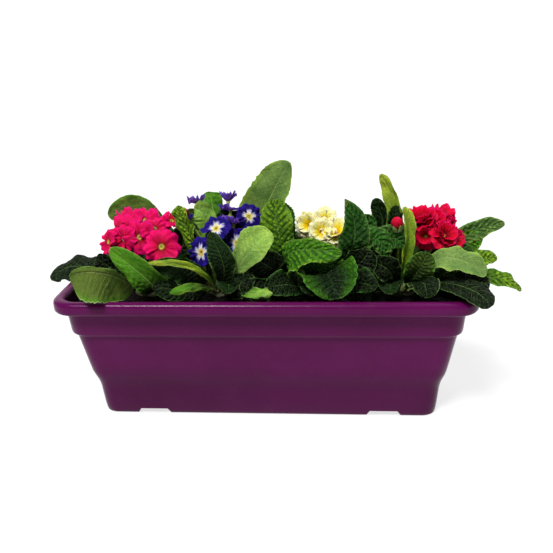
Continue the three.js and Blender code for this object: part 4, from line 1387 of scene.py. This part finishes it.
# ---- Studio
def studio_floor():
    """A faintly grained sheet that glows a little: level under the box, then a quarter circle of 900
    mm far behind it, and upright from there."""
    turn = np.linspace(0, math.pi / 2, 13)
    y = np.concatenate([[-3000, 1800], 1800 + 900 * np.sin(turn[1:]), [2700]])
    z = np.concatenate([[0, 0], 900 * (1 - np.cos(turn[1:])), [4000]])
    x = np.array([-4000.0, 4000.0])
    grid = np.stack([x + 0 * y[:, None], y[:, None] + 0 * x, z[:, None] + 0 * x], -1)
    one = part(grid, grid_faces(np.arange(grid.shape[0] * 2).reshape(-1, 2))[:, ::-1])
    material, tree, shader = new_material("studio paper", 0.1)
    grain = noise(tree, object_place(tree), 3.0, 2.0)
    wire(tree, shader, "Base Color", ramp(tree, grain, [(0, (130, 130, 130)), (1, (136, 136, 136))]))
    shader.inputs["Roughness"].default_value = 0.9
    shader.inputs["Emission Color"].default_value = (1.0, 1.0, 1.0, 1.0)
    shader.inputs["Emission Strength"].default_value = 0.72
    mesh = bpy.data.meshes.new("studio_floor")
    mesh.from_pydata((one["points"] * METRES).tolist(), [], one["faces"].tolist())
    mesh.polygons.foreach_set("use_smooth", np.ones(len(mesh.polygons), bool))
    mesh.materials.append(material)
    floor = bpy.data.objects.new("studio_floor", mesh)
    bpy.context.scene.collection.objects.link(floor)


def sun_light(name, source, strength, spread):
    """Even light from the direction of a source that looks as wide as the spread, in degrees."""
    lamp = bpy.data.lights.new(name, "SUN")
    lamp.energy = strength
    lamp.angle = math.radians(spread)
    holder = bpy.data.objects.new(name, lamp)
    holder.rotation_euler = Vector(source).to_track_quat("Z", "Y").to_euler()
    bpy.context.scene.collection.objects.link(holder)


def studio_camera():
    """A camera that looks down at the planting, turned a little to the right and rolled a little. Its
    target and distance are in metres."""
    target = np.array([0.01237, 0.0, 0.1648])
    distance = 0.9
    pitch, yaw, roll = (math.radians(value) for value in (19.633, 5.009, -1.854))
    back = np.array([math.sin(yaw) * math.cos(pitch), -math.cos(yaw) * math.cos(pitch), math.sin(pitch)])
    right = unit(np.cross(-back, [0, 0, 1]))
    upward = np.cross(right, -back)
    cosine, sine = math.cos(roll), math.sin(roll)
    matrix = np.eye(4)
    matrix[:3, 0] = cosine * right + sine * upward
    matrix[:3, 1] = cosine * upward - sine * right
    matrix[:3, 2] = back
    matrix[:3, 3] = target + distance * back

    lens = bpy.data.cameras.new("studio_camera")
    lens.lens = 46.75
    lens.sensor_fit = "HORIZONTAL"
    lens.sensor_width = 36.0
    camera = bpy.data.objects.new("studio_camera", lens)
    camera.matrix_world = Matrix(matrix.tolist())
    bpy.context.scene.collection.objects.link(camera)
    bpy.context.scene.camera = camera


def studio_world(strength):
    """Even white light from all round."""
    world = bpy.data.worlds.new("studio_world")
    world.use_nodes = True
    background = world.node_tree.nodes["Background"]
    background.inputs["Color"].default_value = (1.0, 1.0, 1.0, 1.0)
    background.inputs["Strength"].default_value = strength
    bpy.context.scene.world = world


studio_floor()
sun_light("key_light", (-0.22, -0.5, 0.84), 3.8, 16.0)
sun_light("fill_light", (0.5, 0.1, 0.86), 0.9, 50.0)
studio_camera()
studio_world(0.28)
bpy.context.scene.view_settings.view_transform = "Standard"
